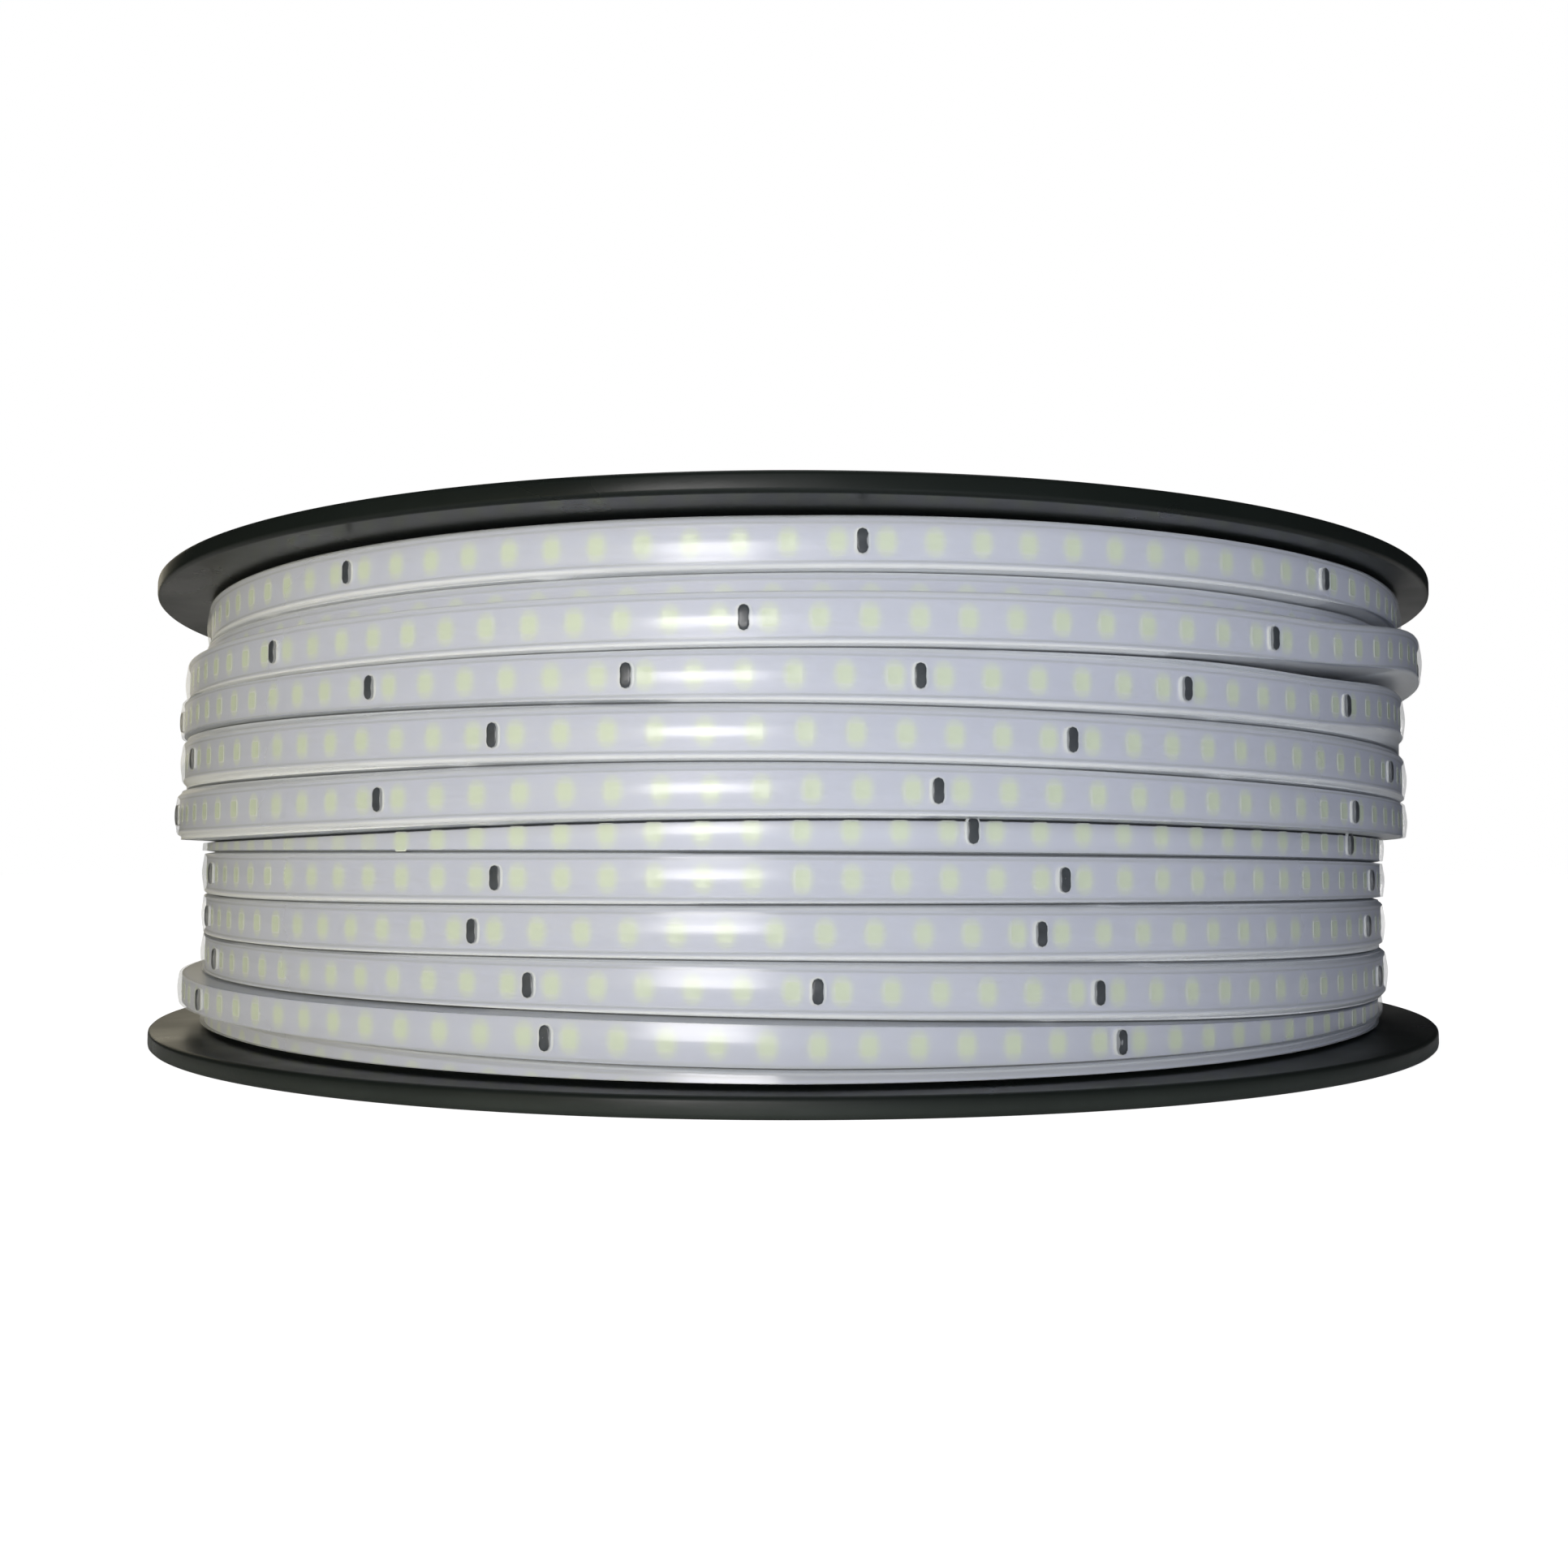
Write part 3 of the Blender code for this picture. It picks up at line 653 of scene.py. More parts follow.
def phosphor_material():
    """Yellow phosphor in clear silicone: pale, even and slightly glossy when unlit."""
    made, _, shader, _ = clouded_finish("phosphor_in_silicone", 60.0, 2.0, "#D3E1B4", "#DDE9C4")
    shader.inputs["Roughness"].default_value = 0.25
    return made


chip_rings = [
    rounded_ring(CHIP_ALONG / 2 - along * MM, CHIP_ACROSS / 2 - across * MM, corner * MM,
                 share * CHIP_HEIGHT)
    for along, across, corner, share in CHIP_RINGS
]
chip_points, chip_faces = stacked(chip_rings)
in_window = [min(face) >= WINDOW_RING * len(chip_rings[0]) for face in chip_faces]
light_turns = light_places()
lights = add_piece(
    "lights", *placed(chip_points, chip_faces, light_turns, BOARD_DEPTH + SUNK),
    [housing_material(), phosphor_material()], slots=np.repeat(in_window, len(light_turns)),
    smooth=40.0,
)
stands_for(lights, "rope_winding")
print(len(light_turns), "lights")

# %% [markdown]
# ## The resistors
#
# The dark marks are resistors: a black glazed ceramic body in a field of white ink, laid
# across the board in the middle of a gap. They are taller than the lights, so they press
# against the tube's wall and show through it dark and sharp. Their tops follow the tube's
# dome. One stands in every twelfth gap, and some gaps between hold a second one.

# %% Resistors on their pads
RESISTOR_ALONG = 1.9 * MM
RESISTOR_ACROSS = 4.5 * MM
RESISTOR_ROUND = 0.94 * MM
PAD_BESIDE = 0.5 * MM
PAD_OVER = 0.15 * MM
PAD_HEIGHT = 0.45 * MM
PAD_ROUND = 1.2 * MM
PROUD = 0.04 * MM
DOME_INSETS = np.array([0.2, 0.7, 1.2]) * MM
CLOSEST_TURNS = 0.02
EXTRA = ((3, -10.69), (3, 27.51), (9, 1.62))


def resistor_material():
    """Black glazed ceramic."""
    made, _, shader, _ = clouded_finish("black_glazed_ceramic", 500.0, 2.0, "#34373C", "#505459")
    shader.inputs["Roughness"].default_value = 0.3
    return made


def ink_material():
    """White ink printed on the board: flat, dense and a little uneven."""
    made, _, shader, _ = clouded_finish("white_screen_ink", 700.0, 2.0, "#F4F6F4", "#FCFDFC")
    shader.inputs["Roughness"].default_value = 0.5
    return made


def resistor_places():
    """Turns at which the count along the rope is a multiple of EVERY, and the extra ones."""
    outside = -9
    found = [turn + degrees / 360.0 for turn, degrees in EXTRA]
    for turn, degrees in PINS:
        start = round(float(count_along(turn + degrees / 360.0)))
        reach = np.arange(start % EVERY - EVERY, searched_counts[-1], EVERY)
        inside = np.interp(reach, searched_counts, searched, left=outside, right=outside)
        found += inside[np.abs(inside - turn) < 0.5].tolist()
    found = np.sort(found)
    apart = np.concatenate([[True], np.diff(found) > CLOSEST_TURNS])
    return in_sight(found[apart], SHOWN_OVER, RESISTOR_ACROSS / 2)


resistor_turns = resistor_places()
half_along, half_across = RESISTOR_ALONG / 2, RESISTOR_ACROSS / 2
pad_along, pad_across = half_along + PAD_BESIDE, half_across + PAD_OVER
seat = -BOARD_DEPTH - SUNK
pad_rings = [
    rounded_ring(pad_along, pad_across, PAD_ROUND, seat),
    rounded_ring(pad_along, pad_across, PAD_ROUND, seat + PAD_HEIGHT),
    rounded_ring(half_along, half_across, RESISTOR_ROUND, seat + PAD_HEIGHT),
]
top_rings = [rounded_ring(half_along, half_across, RESISTOR_ROUND, -SUNK)]
top_rings += [
    rounded_ring(half_along - inset / 3, half_across - inset, RESISTOR_ROUND - inset / 3, PROUD)
    for inset in DOME_INSETS
]
for ring in top_rings:
    ring[:, 2] -= section_drop(ring[:, 1])
resistor_points, resistor_faces = stacked(pad_rings + top_rings)
is_pad = [max(face) < len(pad_rings) * len(pad_rings[0]) for face in resistor_faces]
resistors = add_piece(
    "resistors", *placed(resistor_points, resistor_faces, resistor_turns, 0.0),
    [resistor_material(), ink_material()], slots=np.repeat(is_pad, len(resistor_turns)),
    smooth=40.0,
)
stands_for(resistors, "rope_winding")
print(len(resistor_turns), "resistors")

# %% [markdown]
# ## The black plastic of the spool
#
# The flanges are injection-moulded from recycled high-impact polystyrene. It is black with
# a faint green cast and satin where the mould was textured, and painted light makes it paler
# in clouds low down, near the floor.

# %% Moulded black polystyrene


def spool_material():
    """Satin black with fine mould grain, cloudy gloss and cloudy painted light near the floor."""
    made, tree, shader, cloud = clouded_finish(
        "moulded_black_polystyrene", 22.0, 6.0, "#131715", "#1C211F"
    )
    tone = shader.inputs["Base Color"].links[0].from_socket
    place = node(tree, "ShaderNodeTexCoord")
    grain = node(
        tree, "ShaderNodeTexNoise",
        {"Vector": place.outputs["Object"], "Scale": 1400.0, "Detail": 2.0},
    )
    split = node(tree, "ShaderNodeSeparateXYZ", {0: place.outputs["Object"]})
    # Painted light: within 4 mm of the floor the colour is lightened in clouds towards grey-green.
    near_floor = node(
        tree, "ShaderNodeMapRange",
        {"Value": split.outputs["Z"], "From Min": 4 * MM, "From Max": 1 * MM, "To Max": 0.25},
        interpolation_type="SMOOTHSTEP",
    )
    painted_light_share = node(
        tree, "ShaderNodeMath", {0: near_floor.outputs[0], 1: cloud}, operation="MULTIPLY"
    )
    painted_light_tone = node(
        tree, "ShaderNodeMix", {0: painted_light_share.outputs[0], 6: tone, 7: srgb("#6E756F")},
        data_type="RGBA",
    )
    tree.links.new(painted_light_tone.outputs[2], shader.inputs["Base Color"])
    gloss = node(
        tree, "ShaderNodeMapRange",
        {"Value": cloud, "From Min": 0.35, "From Max": 0.65, "To Min": 0.26, "To Max": 0.42},
    )
    tree.links.new(gloss.outputs[0], shader.inputs["Roughness"])
    shader.inputs["Specular IOR Level"].default_value = 0.3
    bump = node(
        tree, "ShaderNodeBump",
        {"Height": grain.outputs["Fac"], "Strength": 0.12, "Distance": 0.1 * MM},
    )
    tree.links.new(bump.outputs[0], shader.inputs["Normal"])
    return made


spool_finish = spool_material()

# %% [markdown]
# ## Turned and cut shapes
#
# The spool's parts come out of a mould whose halves were turned on a lathe and then milled:
# rings first, then ribs, pads, windows and holes. They are made in that order here. An
# outline is spun round the axle, and Boolean modifiers add the ribs and pads and take the
# windows and holes away. Every corner of an outline is eased by a short curve, because
# plastic never fills a sharp one.

# %% Helpers for turned and cut shapes
SPOOL_FACETS = 240


def eased(outline, ease):
    """An outline whose corners are each a quadratic curve from just before to just after."""
    corner = np.asarray(outline, float)
    ease = np.broadcast_to(np.asarray(ease, float), (len(corner),))
    curves = []
    for step in (1, -1):
        side = np.roll(corner, step, axis=0) - corner
        reach = np.linalg.norm(side, axis=1)
        curves.append(corner + side * (np.minimum(ease, 0.45 * reach) / reach)[:, None])
    share = np.array([0.0, 0.3, 0.7, 1.0])[None, :, None]
    start, end, middle = curves[0][:, None], curves[1][:, None], corner[:, None]
    bent = (1 - share) ** 2 * start + 2 * share * (1 - share) * middle + share ** 2 * end
    return bent.reshape(-1, 2)


def turned(outline, facets=SPOOL_FACETS):
    """Points and faces of an outline of radius and height spun round the axle: x and y are
    the radius times the sine and cosine of the angle, and the height stays."""
    r, z = np.asarray(outline, float).T
    angle = np.arange(facets)[:, None] * 2 * np.pi / facets
    points = np.stack([r * np.sin(angle), r * np.cos(angle), z + 0 * angle], axis=-1)
    i, j = np.indices((facets, len(r)))
    right, up = (i + 1) % facets, (j + 1) % len(r)
    faces = np.stack([i * len(r) + j, right * len(r) + j, right * len(r) + up, i * len(r) + up],
                     axis=-1)
    return points.reshape(-1, 3), faces.reshape(-1, 4).tolist()


def prism(outline, low, high):
    """Points and faces of a flat outline drawn straight up from one height to another."""
    flat = np.asarray(outline, float)
    rings = [np.column_stack([flat, np.full(len(flat), z)]) for z in (low, high)]
    return stacked(rings)


def circle(radius, facets=32):
    """Points of a circle: its radius times the cosine and sine of even angles."""
    angle = np.arange(facets) * 2 * np.pi / facets
    return radius * np.stack([np.cos(angle), np.sin(angle)], axis=-1)


def repeated(shape, angles, radius=0.0):
    """Copies of a shape at a radius from the axle, its x pointing out at each angle."""
    points, faces = shape
    out = np.radians(np.asarray(angles, float))[:, None]
    x, y, z = points[None, :, 0] + radius, points[None, :, 1], points[None, :, 2]
    swung = np.stack(
        [x * np.sin(out) + y * np.cos(out), y * np.sin(out) - x * np.cos(out), z + 0 * out],
        axis=-1,
    )
    copies = [[v + k * len(points) for v in face] for k in range(len(out)) for face in faces]
    return swung.reshape(-1, 3), copies


def cut_and_joined(name, base, tools, finishes, smooth=35.0):
    """A piece made of a base shape and (operation, shape) tools, by Boolean modifiers."""
    body = add_piece(name, *base, finishes, smooth=smooth)
    outwards(body)
    cutters = []
    for operation, shape in tools:
        tool = add_piece(name + "_tool", *shape, [])
        outwards(tool)
        step = body.modifiers.new(operation.lower(), "BOOLEAN")
        step.operation = operation
        step.solver = "EXACT"
        step.use_self = operation == "UNION"
        step.object = tool
        cutters.append(tool)
    graph = bpy.context.evaluated_depsgraph_get()
    made = bpy.data.meshes.new_from_object(body.evaluated_get(graph))
    body.modifiers.clear()
    body.data = made
    for tool in cutters:
        bpy.data.objects.remove(tool, do_unlink=True)
    made.shade_smooth()
    made.set_sharp_from_angle(angle=math.radians(smooth))
    return body


def arrays_of(piece):
    """The points and faces of a piece that is already made."""
    points = np.empty(len(piece.data.vertices) * 3)
    piece.data.vertices.foreach_get("co", points)
    return points.reshape(-1, 3), [list(face.vertices) for face in piece.data.polygons]


def upside_down(points):
    """Turns points over about the reel's middle: x and the height change sign."""
    return points * (-1, 1, -1) + (0, 0, REEL_HEIGHT)


# %% [markdown]
# ## The flanges
#
# Each flange is one thin moulded disc. Its inner face, which the rope rests against, is
# smooth. Its outer face has the rim, the core ring and the hub standing up from a web of
# 1.8 mm, with radial ribs between them. Eight windows save plastic and let a hand in, and
# the four screw heads lie in recesses. The same moulding is used at both ends.

# %% One moulding, used twice
FLANGE_RADIUS = FULL_RADIUS + 10.5 * MM
WEB_THICKNESS = 1.8 * MM
WEB_UNDER = FLANGE_THICKNESS - WEB_THICKNESS
RIM_IN = FLANGE_RADIUS - 4.0 * MM
RING_IN = CORE_RADIUS - 5.0 * MM
CORE_WALL = 3.0 * MM
SPIGOT_OUT = CORE_RADIUS - CORE_WALL - SEAT_GAP
SPIGOT_IN = SPIGOT_OUT - 2.0 * MM
SPIGOT_TOP = FLANGE_THICKNESS + 6.0 * MM
BORE_RADIUS = 16.0 * MM
HUB_OUT = BORE_RADIUS + 6.0 * MM
HUB_TOP = FLANGE_THICKNESS + 14.0 * MM
RIB_LOW = 0.3 * MM
RIB_TOP = FLANGE_THICKNESS - WEB_THICKNESS / 2
SCREW_CIRCLE = CORE_RADIUS - 12.2 * MM
SEAT_DEPTH = 2.7 * MM
WINDOW_IN, WINDOW_OUT = 30.0 * MM, 56.0 * MM
SPOKE_WIDTH = 15.0 * MM
RIB_WIDTH = 1.8 * MM
SPOKE_RIB_WIDTH = 3.0 * MM
RIB_START = CORE_RADIUS - 2.5 * MM
PAD_RADIUS = 7.0 * MM
PAD_LOW, PAD_TOP = 0.15 * MM, 3.65 * MM
RECESS_RADIUS = 4.5 * MM
SCREW_HOLE = 2.1 * MM
SLOT_IN, SLOT_OUT, SLOT_HALF = 2.8 * MM, 9.2 * MM, 6.0 * MM
NOTCH_IN, NOTCH_OUT, NOTCH_HALF = -5.5 * MM, 1.0 * MM, 1.8 * MM
NOTCH_AT = CORE_RADIUS - CORE_WALL + 1.0 * MM
BELOW, ABOVE = -4.0 * MM, 8.0 * MM

flange_outline = eased(
    [
        (BORE_RADIUS, 0), (HUB_OUT, 0), (HUB_OUT, WEB_UNDER), (RING_IN, WEB_UNDER),
        (RING_IN, 0), (CORE_RADIUS, 0), (CORE_RADIUS, WEB_UNDER), (RIM_IN, WEB_UNDER),
        (RIM_IN, 0), (FLANGE_RADIUS, 0), (FLANGE_RADIUS, FLANGE_THICKNESS),
        (SPIGOT_OUT, FLANGE_THICKNESS), (SPIGOT_OUT, SPIGOT_TOP), (SPIGOT_IN, SPIGOT_TOP),
        (SPIGOT_IN, FLANGE_THICKNESS), (HUB_OUT, FLANGE_THICKNESS), (HUB_OUT - 1.5 * MM, HUB_TOP),
        (BORE_RADIUS, HUB_TOP),
    ],
    np.array([0.4, 0.3, 0.3, 0.3, 0.3, 0.3, 0.3, 0.4, 0.5, 0.9, 0.9,
              0.2, 0.4, 0.4, 0.3, 0.5, 0.5, 0.5]) * MM,
)


def rib(width, start, end):
    """A straight rib whose outer edges are eased, drawn out along x."""
    half = width / 2
    across = eased([(-half, RIB_LOW), (half, RIB_LOW), (half, RIB_TOP), (-half, RIB_TOP)],
                   0.3 * MM)
    points, faces = prism(across, start, end)
    return points[:, [2, 0, 1]], faces


def even_angles(count, shift=0.0):
    """Evenly spaced angles round the axle."""
    return (np.arange(count) + shift) * 360.0 / count


def at_screws(outline, low, high, circle_radius=SCREW_CIRCLE):
    """An outline drawn up from one height to another, at each of the four screws."""
    return repeated(prism(outline, low, high), even_angles(4, 0.5), circle_radius)


half_turn = math.pi / 8
window_side = [u * math.tan(half_turn) - SPOKE_WIDTH / 2 / math.cos(half_turn)
               for u in (WINDOW_IN, WINDOW_OUT)]
window = eased(
    [(WINDOW_IN, -window_side[0]), (WINDOW_OUT, -window_side[1]),
     (WINDOW_OUT, window_side[1]), (WINDOW_IN, window_side[0])], 3.4 * MM,
)
slot = eased(
    [(SLOT_IN, -SLOT_HALF), (SLOT_OUT, -SLOT_HALF), (SLOT_OUT, SLOT_HALF), (SLOT_IN, SLOT_HALF)],
    1.0 * MM,
)
notch = [(NOTCH_IN, -NOTCH_HALF), (NOTCH_OUT, -NOTCH_HALF), (NOTCH_OUT, NOTCH_HALF),
         (NOTCH_IN, NOTCH_HALF)]
flange_tools = (
    ("UNION", repeated(rib(RIB_WIDTH, RIB_START, FLANGE_RADIUS - 2 * MM), even_angles(12, 0.5))),
    ("UNION", repeated(rib(SPOKE_RIB_WIDTH, HUB_OUT - 3 * MM, RIB_START), even_angles(8))),
    ("UNION", at_screws(circle(PAD_RADIUS, 48), PAD_LOW, PAD_TOP)),
    ("DIFFERENCE", repeated(prism(window, BELOW, ABOVE), even_angles(8, 0.5))),
    ("DIFFERENCE", at_screws(circle(RECESS_RADIUS), BELOW, SEAT_DEPTH)),
    ("DIFFERENCE", at_screws(circle(SCREW_HOLE), BELOW, ABOVE)),
    ("DIFFERENCE", at_screws(notch, FLANGE_THICKNESS, 16 * MM, NOTCH_AT)),
    ("DIFFERENCE", repeated(prism(slot, BELOW, ABOVE), [180.0], CORE_RADIUS)),
)
lower_flange = cut_and_joined("flange_below", turned(flange_outline), flange_tools,
                              [spool_finish])
flange_points, flange_faces = arrays_of(lower_flange)
upper_flange = add_piece("flange_above", upside_down(flange_points), flange_faces,
                         [spool_finish], smooth=35.0)
stands_for(lower_flange, "flange_lower")
stands_for(upper_flange, "flange_upper")

# %% [markdown]
# ## The barrel
#
# Through the windows the inside of the barrel can be seen: a plain moulded tube with four
# posts on short webs, each bored at both ends for a screw.

# %% The barrel and its posts
POST_RADIUS = 4.5 * MM
POST_BORE = 20 * MM
WEB_HALF = 1.5 * MM
wall_in = CORE_RADIUS - CORE_WALL
web_out = CORE_RADIUS - CORE_WALL / 2 - SCREW_CIRCLE
tube = eased([(wall_in, WOUND_LOW), (CORE_RADIUS, WOUND_LOW), (CORE_RADIUS, WOUND_HIGH),
              (wall_in, WOUND_HIGH)], 0.3 * MM)
web = [(0, -WEB_HALF), (web_out, -WEB_HALF), (web_out, WEB_HALF), (0, WEB_HALF)]
bore = circle(SCREW_HOLE)
barrel = cut_and_joined(
    "barrel", turned(tube, 144),
    (
        ("UNION", at_screws(web, WOUND_LOW + SEAT_GAP, WOUND_HIGH - SEAT_GAP)),
        ("UNION", at_screws(circle(POST_RADIUS), WOUND_LOW, WOUND_HIGH)),
        ("DIFFERENCE", at_screws(bore, 0.0, WOUND_LOW + POST_BORE)),
        ("DIFFERENCE", at_screws(bore, WOUND_HIGH - POST_BORE, REEL_HEIGHT)),
    ),
    [spool_finish],
)
stands_for(barrel, "core_barrel")

# %% [markdown]
# ## The screws
#
# Pan-head screws of zinc-plated steel hold the flanges on. The head is a low dome, stamped
# with a cross. The plating is silvery, a little blue, and dulled by handling.

# %% Pan heads with a cross
HEAD_RADIUS = 3.9 * MM
HEAD_TOP = 0.3 * MM
HEAD_SEAT = SEAT_DEPTH - SEAT_GAP
SHANK_RADIUS = 1.8 * MM
SHANK_LENGTH, SHANK_POINT = 13.5 * MM, 16 * MM
TIP_RADIUS = 0.05 * MM
ARM_HALF, ARM_REACH = 0.55 * MM, 2.2 * MM


def zinc_material():
    """Zinc-plated steel: metal whose gloss and tint change in small clouds."""
    made, _, shader, _ = clouded_finish(
        "zinc_plated_steel", 300.0, 4.0, "#B9BDC2", "#D6D5CE", (0.22, 0.5)
    )
    shader.inputs["Metallic"].default_value = 1.0
    return made


dome = np.linspace(0, np.pi / 2, 9)
head_side = np.stack(
    [HEAD_RADIUS * np.sin(dome) ** 0.8,
     HEAD_TOP + (HEAD_SEAT - HEAD_TOP) * 0.75 * (1 - np.cos(dome))], axis=-1,
)
shank = [(HEAD_RADIUS, HEAD_SEAT), (SHANK_RADIUS, HEAD_SEAT),
         (SHANK_RADIUS, HEAD_SEAT + SHANK_LENGTH), (TIP_RADIUS, HEAD_SEAT + SHANK_POINT)]
screw_outline = np.concatenate([[(TIP_RADIUS, HEAD_TOP)], head_side[1:], shank])
cross = []
for c, s in ((1, 0), (0, 1), (-1, 0), (0, -1)):
    for x, y in ((ARM_HALF, ARM_REACH), (-ARM_HALF, ARM_REACH), (-ARM_HALF, ARM_HALF)):
        cross.append((c * x - s * y, s * x + c * y))
model_screw = cut_and_joined(
    "screw", turned(screw_outline, 40), (("DIFFERENCE", prism(cross, -1 * MM, 1.7 * MM)),), [],
)
screw_shape = arrays_of(model_screw)
bpy.data.objects.remove(model_screw, do_unlink=True)
zinc = zinc_material()
for k, angle in enumerate(even_angles(4, 0.5), start=1):
    below, faces = repeated(screw_shape, [angle], SCREW_CIRCLE)
    for end, points in (("lower", below), ("upper", upside_down(below))):
        piece = add_piece(f"pan_screw_{end}_{k}", points, faces, [zinc], smooth=35.0)
        stands_for(piece, f"screw_{end}_{k}")

# %% [markdown]
# ## The cap on the rope's end
#
# The cut end is closed by a soft moulded cap, glued on, with a few grip lines round its
# middle. It is a rounded rectangle that grows and shrinks along its length.

# %% The end cap
CAP_LENGTH = 16.0 * MM
CAP_ROUNDING = 1.0 * MM
CAP_WALL = 0.3 * MM
GRIP_LINES = 5
GRIP_DEPTH = 0.22 * MM
GRIP_SPAN = 0.6


def cap_material():
    """White soft PVC, moulded: satin, with a little yellowing in clouds."""
    return clouded_finish("moulded_white_pvc", 120.0, 4.0, "#DDDCD6", "#EBEAE4", (0.3, 0.5))[0]


under = FULL_RADIUS + SEAT_GAP
cap_angle = math.degrees((CAP_LENGTH / 2 + SEAT_GAP) / under)
cap_high = ROPE_WIDTH + 2 * CAP_WALL
cap_thick = ROPE_THICKNESS + CAP_WALL
start = CUT_ANGLE + CUT_STEP
lane = float(edge_height(CUT_TURN + (start + 2 * cap_angle) / 360.0))
cap_middle = lane - SEAT_GAP - cap_high / 2
along = (1 - np.cos(np.linspace(0, np.pi, 61))) * CAP_LENGTH / 2
from_end = np.minimum(along, CAP_LENGTH - along)
near_end = np.clip(CAP_ROUNDING - from_end, 0, CAP_ROUNDING)
shrink = CAP_ROUNDING - np.sqrt(CAP_ROUNDING ** 2 - near_end ** 2)
grip = np.clip(1 - np.abs(along / CAP_LENGTH - 0.5) / (GRIP_SPAN / 2), 0, 1) ** 0.5
wave = np.sin(along / CAP_LENGTH * 2 * np.pi * GRIP_LINES / GRIP_SPAN) ** 2
shrink = shrink + GRIP_DEPTH * grip * wave
rings = [
    rounded_ring(cap_thick / 2 - inset, cap_high / 2 - inset, 1.2 * MM, place, 6)
    for inset, place in zip(shrink, along - CAP_LENGTH / 2)
]
cap_points, cap_faces = stacked(rings)
cap_points = cap_points[:, [0, 2, 1]] + (cap_thick / 2, 0, cap_middle)
cap = add_piece("end_cap", *repeated((cap_points, cap_faces), [start + cap_angle], under),
                [cap_material()], smooth=40.0)
outwards(cap)
stands_for(cap, "rope_end_cap")

# %% [markdown]
# ## The tape over the last turn
#
# A strip of clear packing tape holds the last turn down beside its cap. It bridges from the
# turn above to the layer below, so it is a sheet whose radius follows three turns, with a
# few faint wrinkles where it hangs free.

# %% Clear packing tape
TAPE_WIDTH = 28.0 * MM
TAPE_OVERLAP = 13.0 * MM
TAPE_THICKNESS = 0.2 * MM
TAPE_ALPHA = 0.22
TAPE_STICKS = 2.5 * MM
TAPE_AROUND, TAPE_DOWN = 41, 61
WRINKLE = 0.1 * MM


def tape_material():
    """Clear polypropylene tape: a thin glossy film, slightly yellow from its glue."""
    made, _, shader, _ = clouded_finish(
        "clear_polypropylene_tape", 90.0, 5.0, "#D8D2BE", "#EFEDE2", (0.08, 0.3)
    )
    shader.inputs["Alpha"].default_value = TAPE_ALPHA
    return made


reach = math.degrees(TAPE_WIDTH / (FULL_RADIUS + ROPE_THICKNESS))
tape_end = CUT_ANGLE - math.degrees(6.0 * MM / FULL_RADIUS)
angles = np.linspace(tape_end - reach, tape_end, TAPE_AROUND)
above, held, below = [
    turn_radius(turn + angles / 360.0) + SEAT_GAP for turn in (CUT_TURN - 1, CUT_TURN, CUT_TURN + 1)
]
low = edge_height(CUT_TURN + 1 + angles / 360.0)
high = edge_height(CUT_TURN + angles / 360.0)
key_heights = np.stack([low - TAPE_OVERLAP, low - TAPE_STICKS, low, high, high + TAPE_OVERLAP])
key_radii = np.stack([below, below, held, np.maximum(above, held), above])
keys = np.arange(len(key_heights))
share = np.linspace(0, keys[-1], TAPE_DOWN)
heights = np.array([np.interp(share, keys, column) for column in key_heights.T])
radii = np.array([np.interp(share, keys, column) for column in key_radii.T])
free = np.clip(1 - np.abs(share - 1.5) / 0.8, 0, 1)
radii = radii + WRINKLE * free * (1 + np.sin(angles[:, None] * 2.1 + share * 1.7))
sheet = round_the_axle(radii, angles[:, None], heights)
film = round_the_axle(radii + TAPE_THICKNESS, angles[:, None], heights)
rows, columns = radii.shape
grid = np.arange(rows * columns).reshape(rows, columns)
edge = np.concatenate([grid[0, :-1], grid[:-1, -1], grid[-1, :0:-1], grid[:0:-1, 0]])
inner = np.stack([grid[:-1, :-1], grid[1:, :-1], grid[1:, 1:], grid[:-1, 1:]], axis=-1)
outer = inner[..., ::-1] + rows * columns
rim = np.stack([edge, np.roll(edge, -1), np.roll(edge, -1) + rows * columns,
                edge + rows * columns], axis=-1)
tape_faces = np.concatenate([inner.reshape(-1, 4), outer.reshape(-1, 4), rim]).tolist()
tape = add_piece("packing_tape", np.concatenate([sheet.reshape(-1, 3), film.reshape(-1, 3)]),
                 tape_faces, [tape_material()], smooth=40.0)
outwards(tape)
stands_for(tape, "end_tape")

# %% [markdown]
# ## The studio
#
# The reel stands on a white sheet. A soft square lamp just left of the camera gives the
# bright patch in the middle of each turn. A warm fill at the left and a cool one near the
# middle, both too soft to be mirrored, carry the tone across, and the right side is left to
# fall into shade. A lamp behind and one above light the sides that the camera doesn't see.

# %% Floor, lamps and camera
FLOOR_HALF = 4.0
FLOOR_GLOW = 0.9
SKY = 0.02


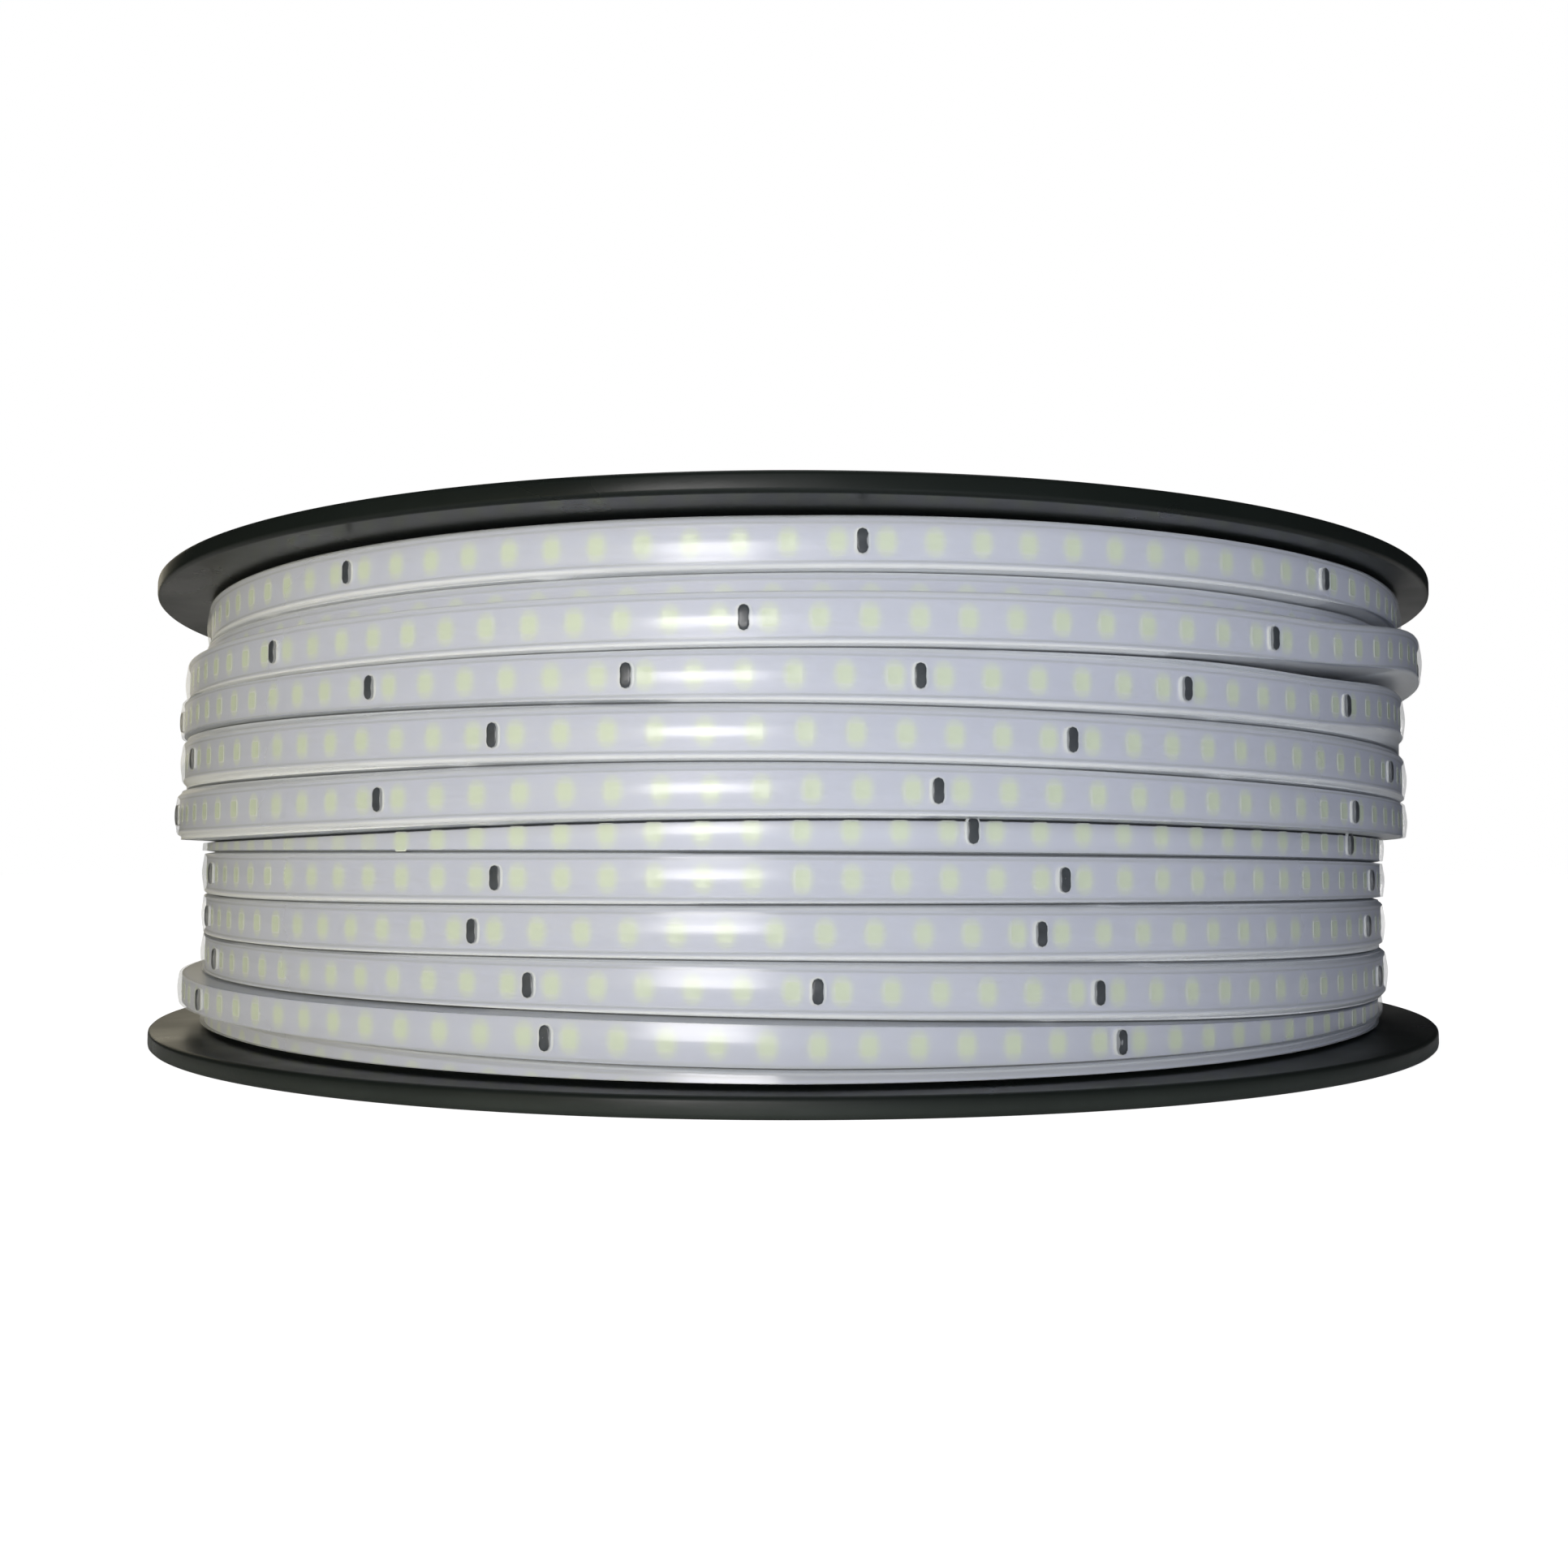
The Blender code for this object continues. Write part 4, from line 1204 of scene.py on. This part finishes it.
def floor_material():
    """White paper that keeps the reel's shadow, with a glow that only the camera sees."""
    made, tree, shader = new_material("white_paper_sweep")
    shader.inputs["Base Color"].default_value = srgb("#F4F4F4")
    shader.inputs["Roughness"].default_value = 0.9
    shader.inputs["Specular IOR Level"].default_value = 0.0
    path = node(tree, "ShaderNodeLightPath")
    place = node(tree, "ShaderNodeTexCoord")
    far = node(
        tree, "ShaderNodeVectorMath", {0: place.outputs["Object"]}, operation="LENGTH"
    )
    level = node(
        tree, "ShaderNodeMapRange",
        {"Value": far.outputs["Value"], "From Min": 0.2, "From Max": 0.55,
         "To Min": FLOOR_GLOW, "To Max": 1.0},
        interpolation_type="SMOOTHSTEP",
    )
    strength = node(
        tree, "ShaderNodeMath", {0: path.outputs["Is Camera Ray"], 1: level.outputs[0]},
        operation="MULTIPLY",
    )
    glow = node(
        tree, "ShaderNodeEmission", {"Color": srgb("#FFFFFF"), "Strength": strength.outputs[0]}
    )
    both = node(
        tree, "ShaderNodeAddShader", {0: shader.outputs[0], 1: glow.outputs[0]}
    )
    out = tree.nodes["Material Output"]
    tree.links.new(both.outputs[0], out.inputs["Surface"])
    return made


floor = add_piece(
    "floor",
    [(-FLOOR_HALF, -FLOOR_HALF, 0), (FLOOR_HALF, -FLOOR_HALF, 0),
     (FLOOR_HALF, FLOOR_HALF, 0), (-FLOOR_HALF, FLOOR_HALF, 0)],
    [(0, 1, 2, 3)], [floor_material()],
)

sky = bpy.data.worlds.new("studio")
bpy.context.scene.world = sky
sky.use_nodes = True
tree = sky.node_tree
path = node(tree, "ShaderNodeLightPath")
dim = tree.nodes["Background"]
dim.inputs["Color"].default_value = srgb("#F2F4FA")
dim.inputs["Strength"].default_value = SKY
white = node(tree, "ShaderNodeBackground", {"Color": srgb("#FFFFFF"), "Strength": 1.0})
chosen = node(
    tree, "ShaderNodeMixShader",
    {0: path.outputs["Is Camera Ray"], 1: dim.outputs[0], 2: white.outputs[0]},
)
tree.links.new(chosen.outputs[0], tree.nodes["World Output"].inputs["Surface"])


def add_lamp(name, degrees, lift, distance, wide, high, watts, colour, glints=True, seen=True):
    """A rectangular soft lamp that looks at the reel's middle, from an angle counted from
    the front and a lift above the middle's height, both in degrees. One without glints
    stands for light that comes off the room's walls, and isn't mirrored in the rope."""
    level = distance * math.cos(math.radians(lift))
    place = (level * math.sin(math.radians(degrees)), -level * math.cos(math.radians(degrees)),
             REEL_HEIGHT / 2 + distance * math.sin(math.radians(lift)))
    target = (0.0, 0.0, REEL_HEIGHT / 2)
    data = bpy.data.lights.new(name, "AREA")
    data.shape = "RECTANGLE"
    data.size = wide
    data.size_y = high
    data.energy = watts
    data.color = srgb(colour)[:3]
    lamp = bpy.data.objects.new(name, data)
    bpy.context.scene.collection.objects.link(lamp)
    lamp.location = place
    lamp.visible_glossy = glints
    lamp.visible_camera = seen
    lamp.rotation_euler = (Vector(target) - Vector(place)).to_track_quat("-Z", "Y").to_euler()
    return lamp


add_lamp("main", -13.4, 4.2, 1.3, 0.36, 0.34, 5.15, "#FFFCFC")
add_lamp("left_fill", -34, 5, 1.3, 0.5, 0.3, 3.45, "#FFF2A0", glints=False)
add_lamp("left_near", -25, 4, 0.5, 0.3, 0.3, 0.2, "#DDDEFF", glints=False)
add_lamp("middle_near", 9, 4, 0.5, 0.3, 0.3, 0.64, "#E2EEFF", glints=False)
add_lamp("back_left", -152, 12, 1.3, 0.9, 0.4, 0.9, "#FFF6DC", seen=False)
add_lamp("behind", 172, 8, 1.3, 0.5, 0.4, 6.5, "#FFFDFA", seen=False)
add_lamp("above", 180, 76, 1.4, 0.7, 0.7, 2.6, "#FFFFFF", seen=False)

# %% [markdown]
# The camera is where the photographer's was: close in front of the reel, a little below its
# middle, and tilted up by three degrees.

# %% The camera
FRAME_PIXELS = 1932
FOCAL_PIXELS = 1810.3
SENSOR = 36.0
SIDE_PIXELS = -11.34
CAMERA_PLACE = (0.0, -0.3877, 0.04064)
CAMERA_TILT = 3.026
lens = bpy.data.cameras.new("camera")
lens.sensor_width = SENSOR
lens.lens = SENSOR * FOCAL_PIXELS / FRAME_PIXELS
lens.shift_x = SIDE_PIXELS / FRAME_PIXELS
lens.clip_start = 0.01
camera = bpy.data.objects.new("camera", lens)
bpy.context.scene.collection.objects.link(camera)
camera.location = CAMERA_PLACE
camera.rotation_euler = (math.radians(90.0 + CAMERA_TILT), 0.0, 0.0)
bpy.context.scene.camera = camera
bpy.context.scene.view_settings.view_transform = "Standard"
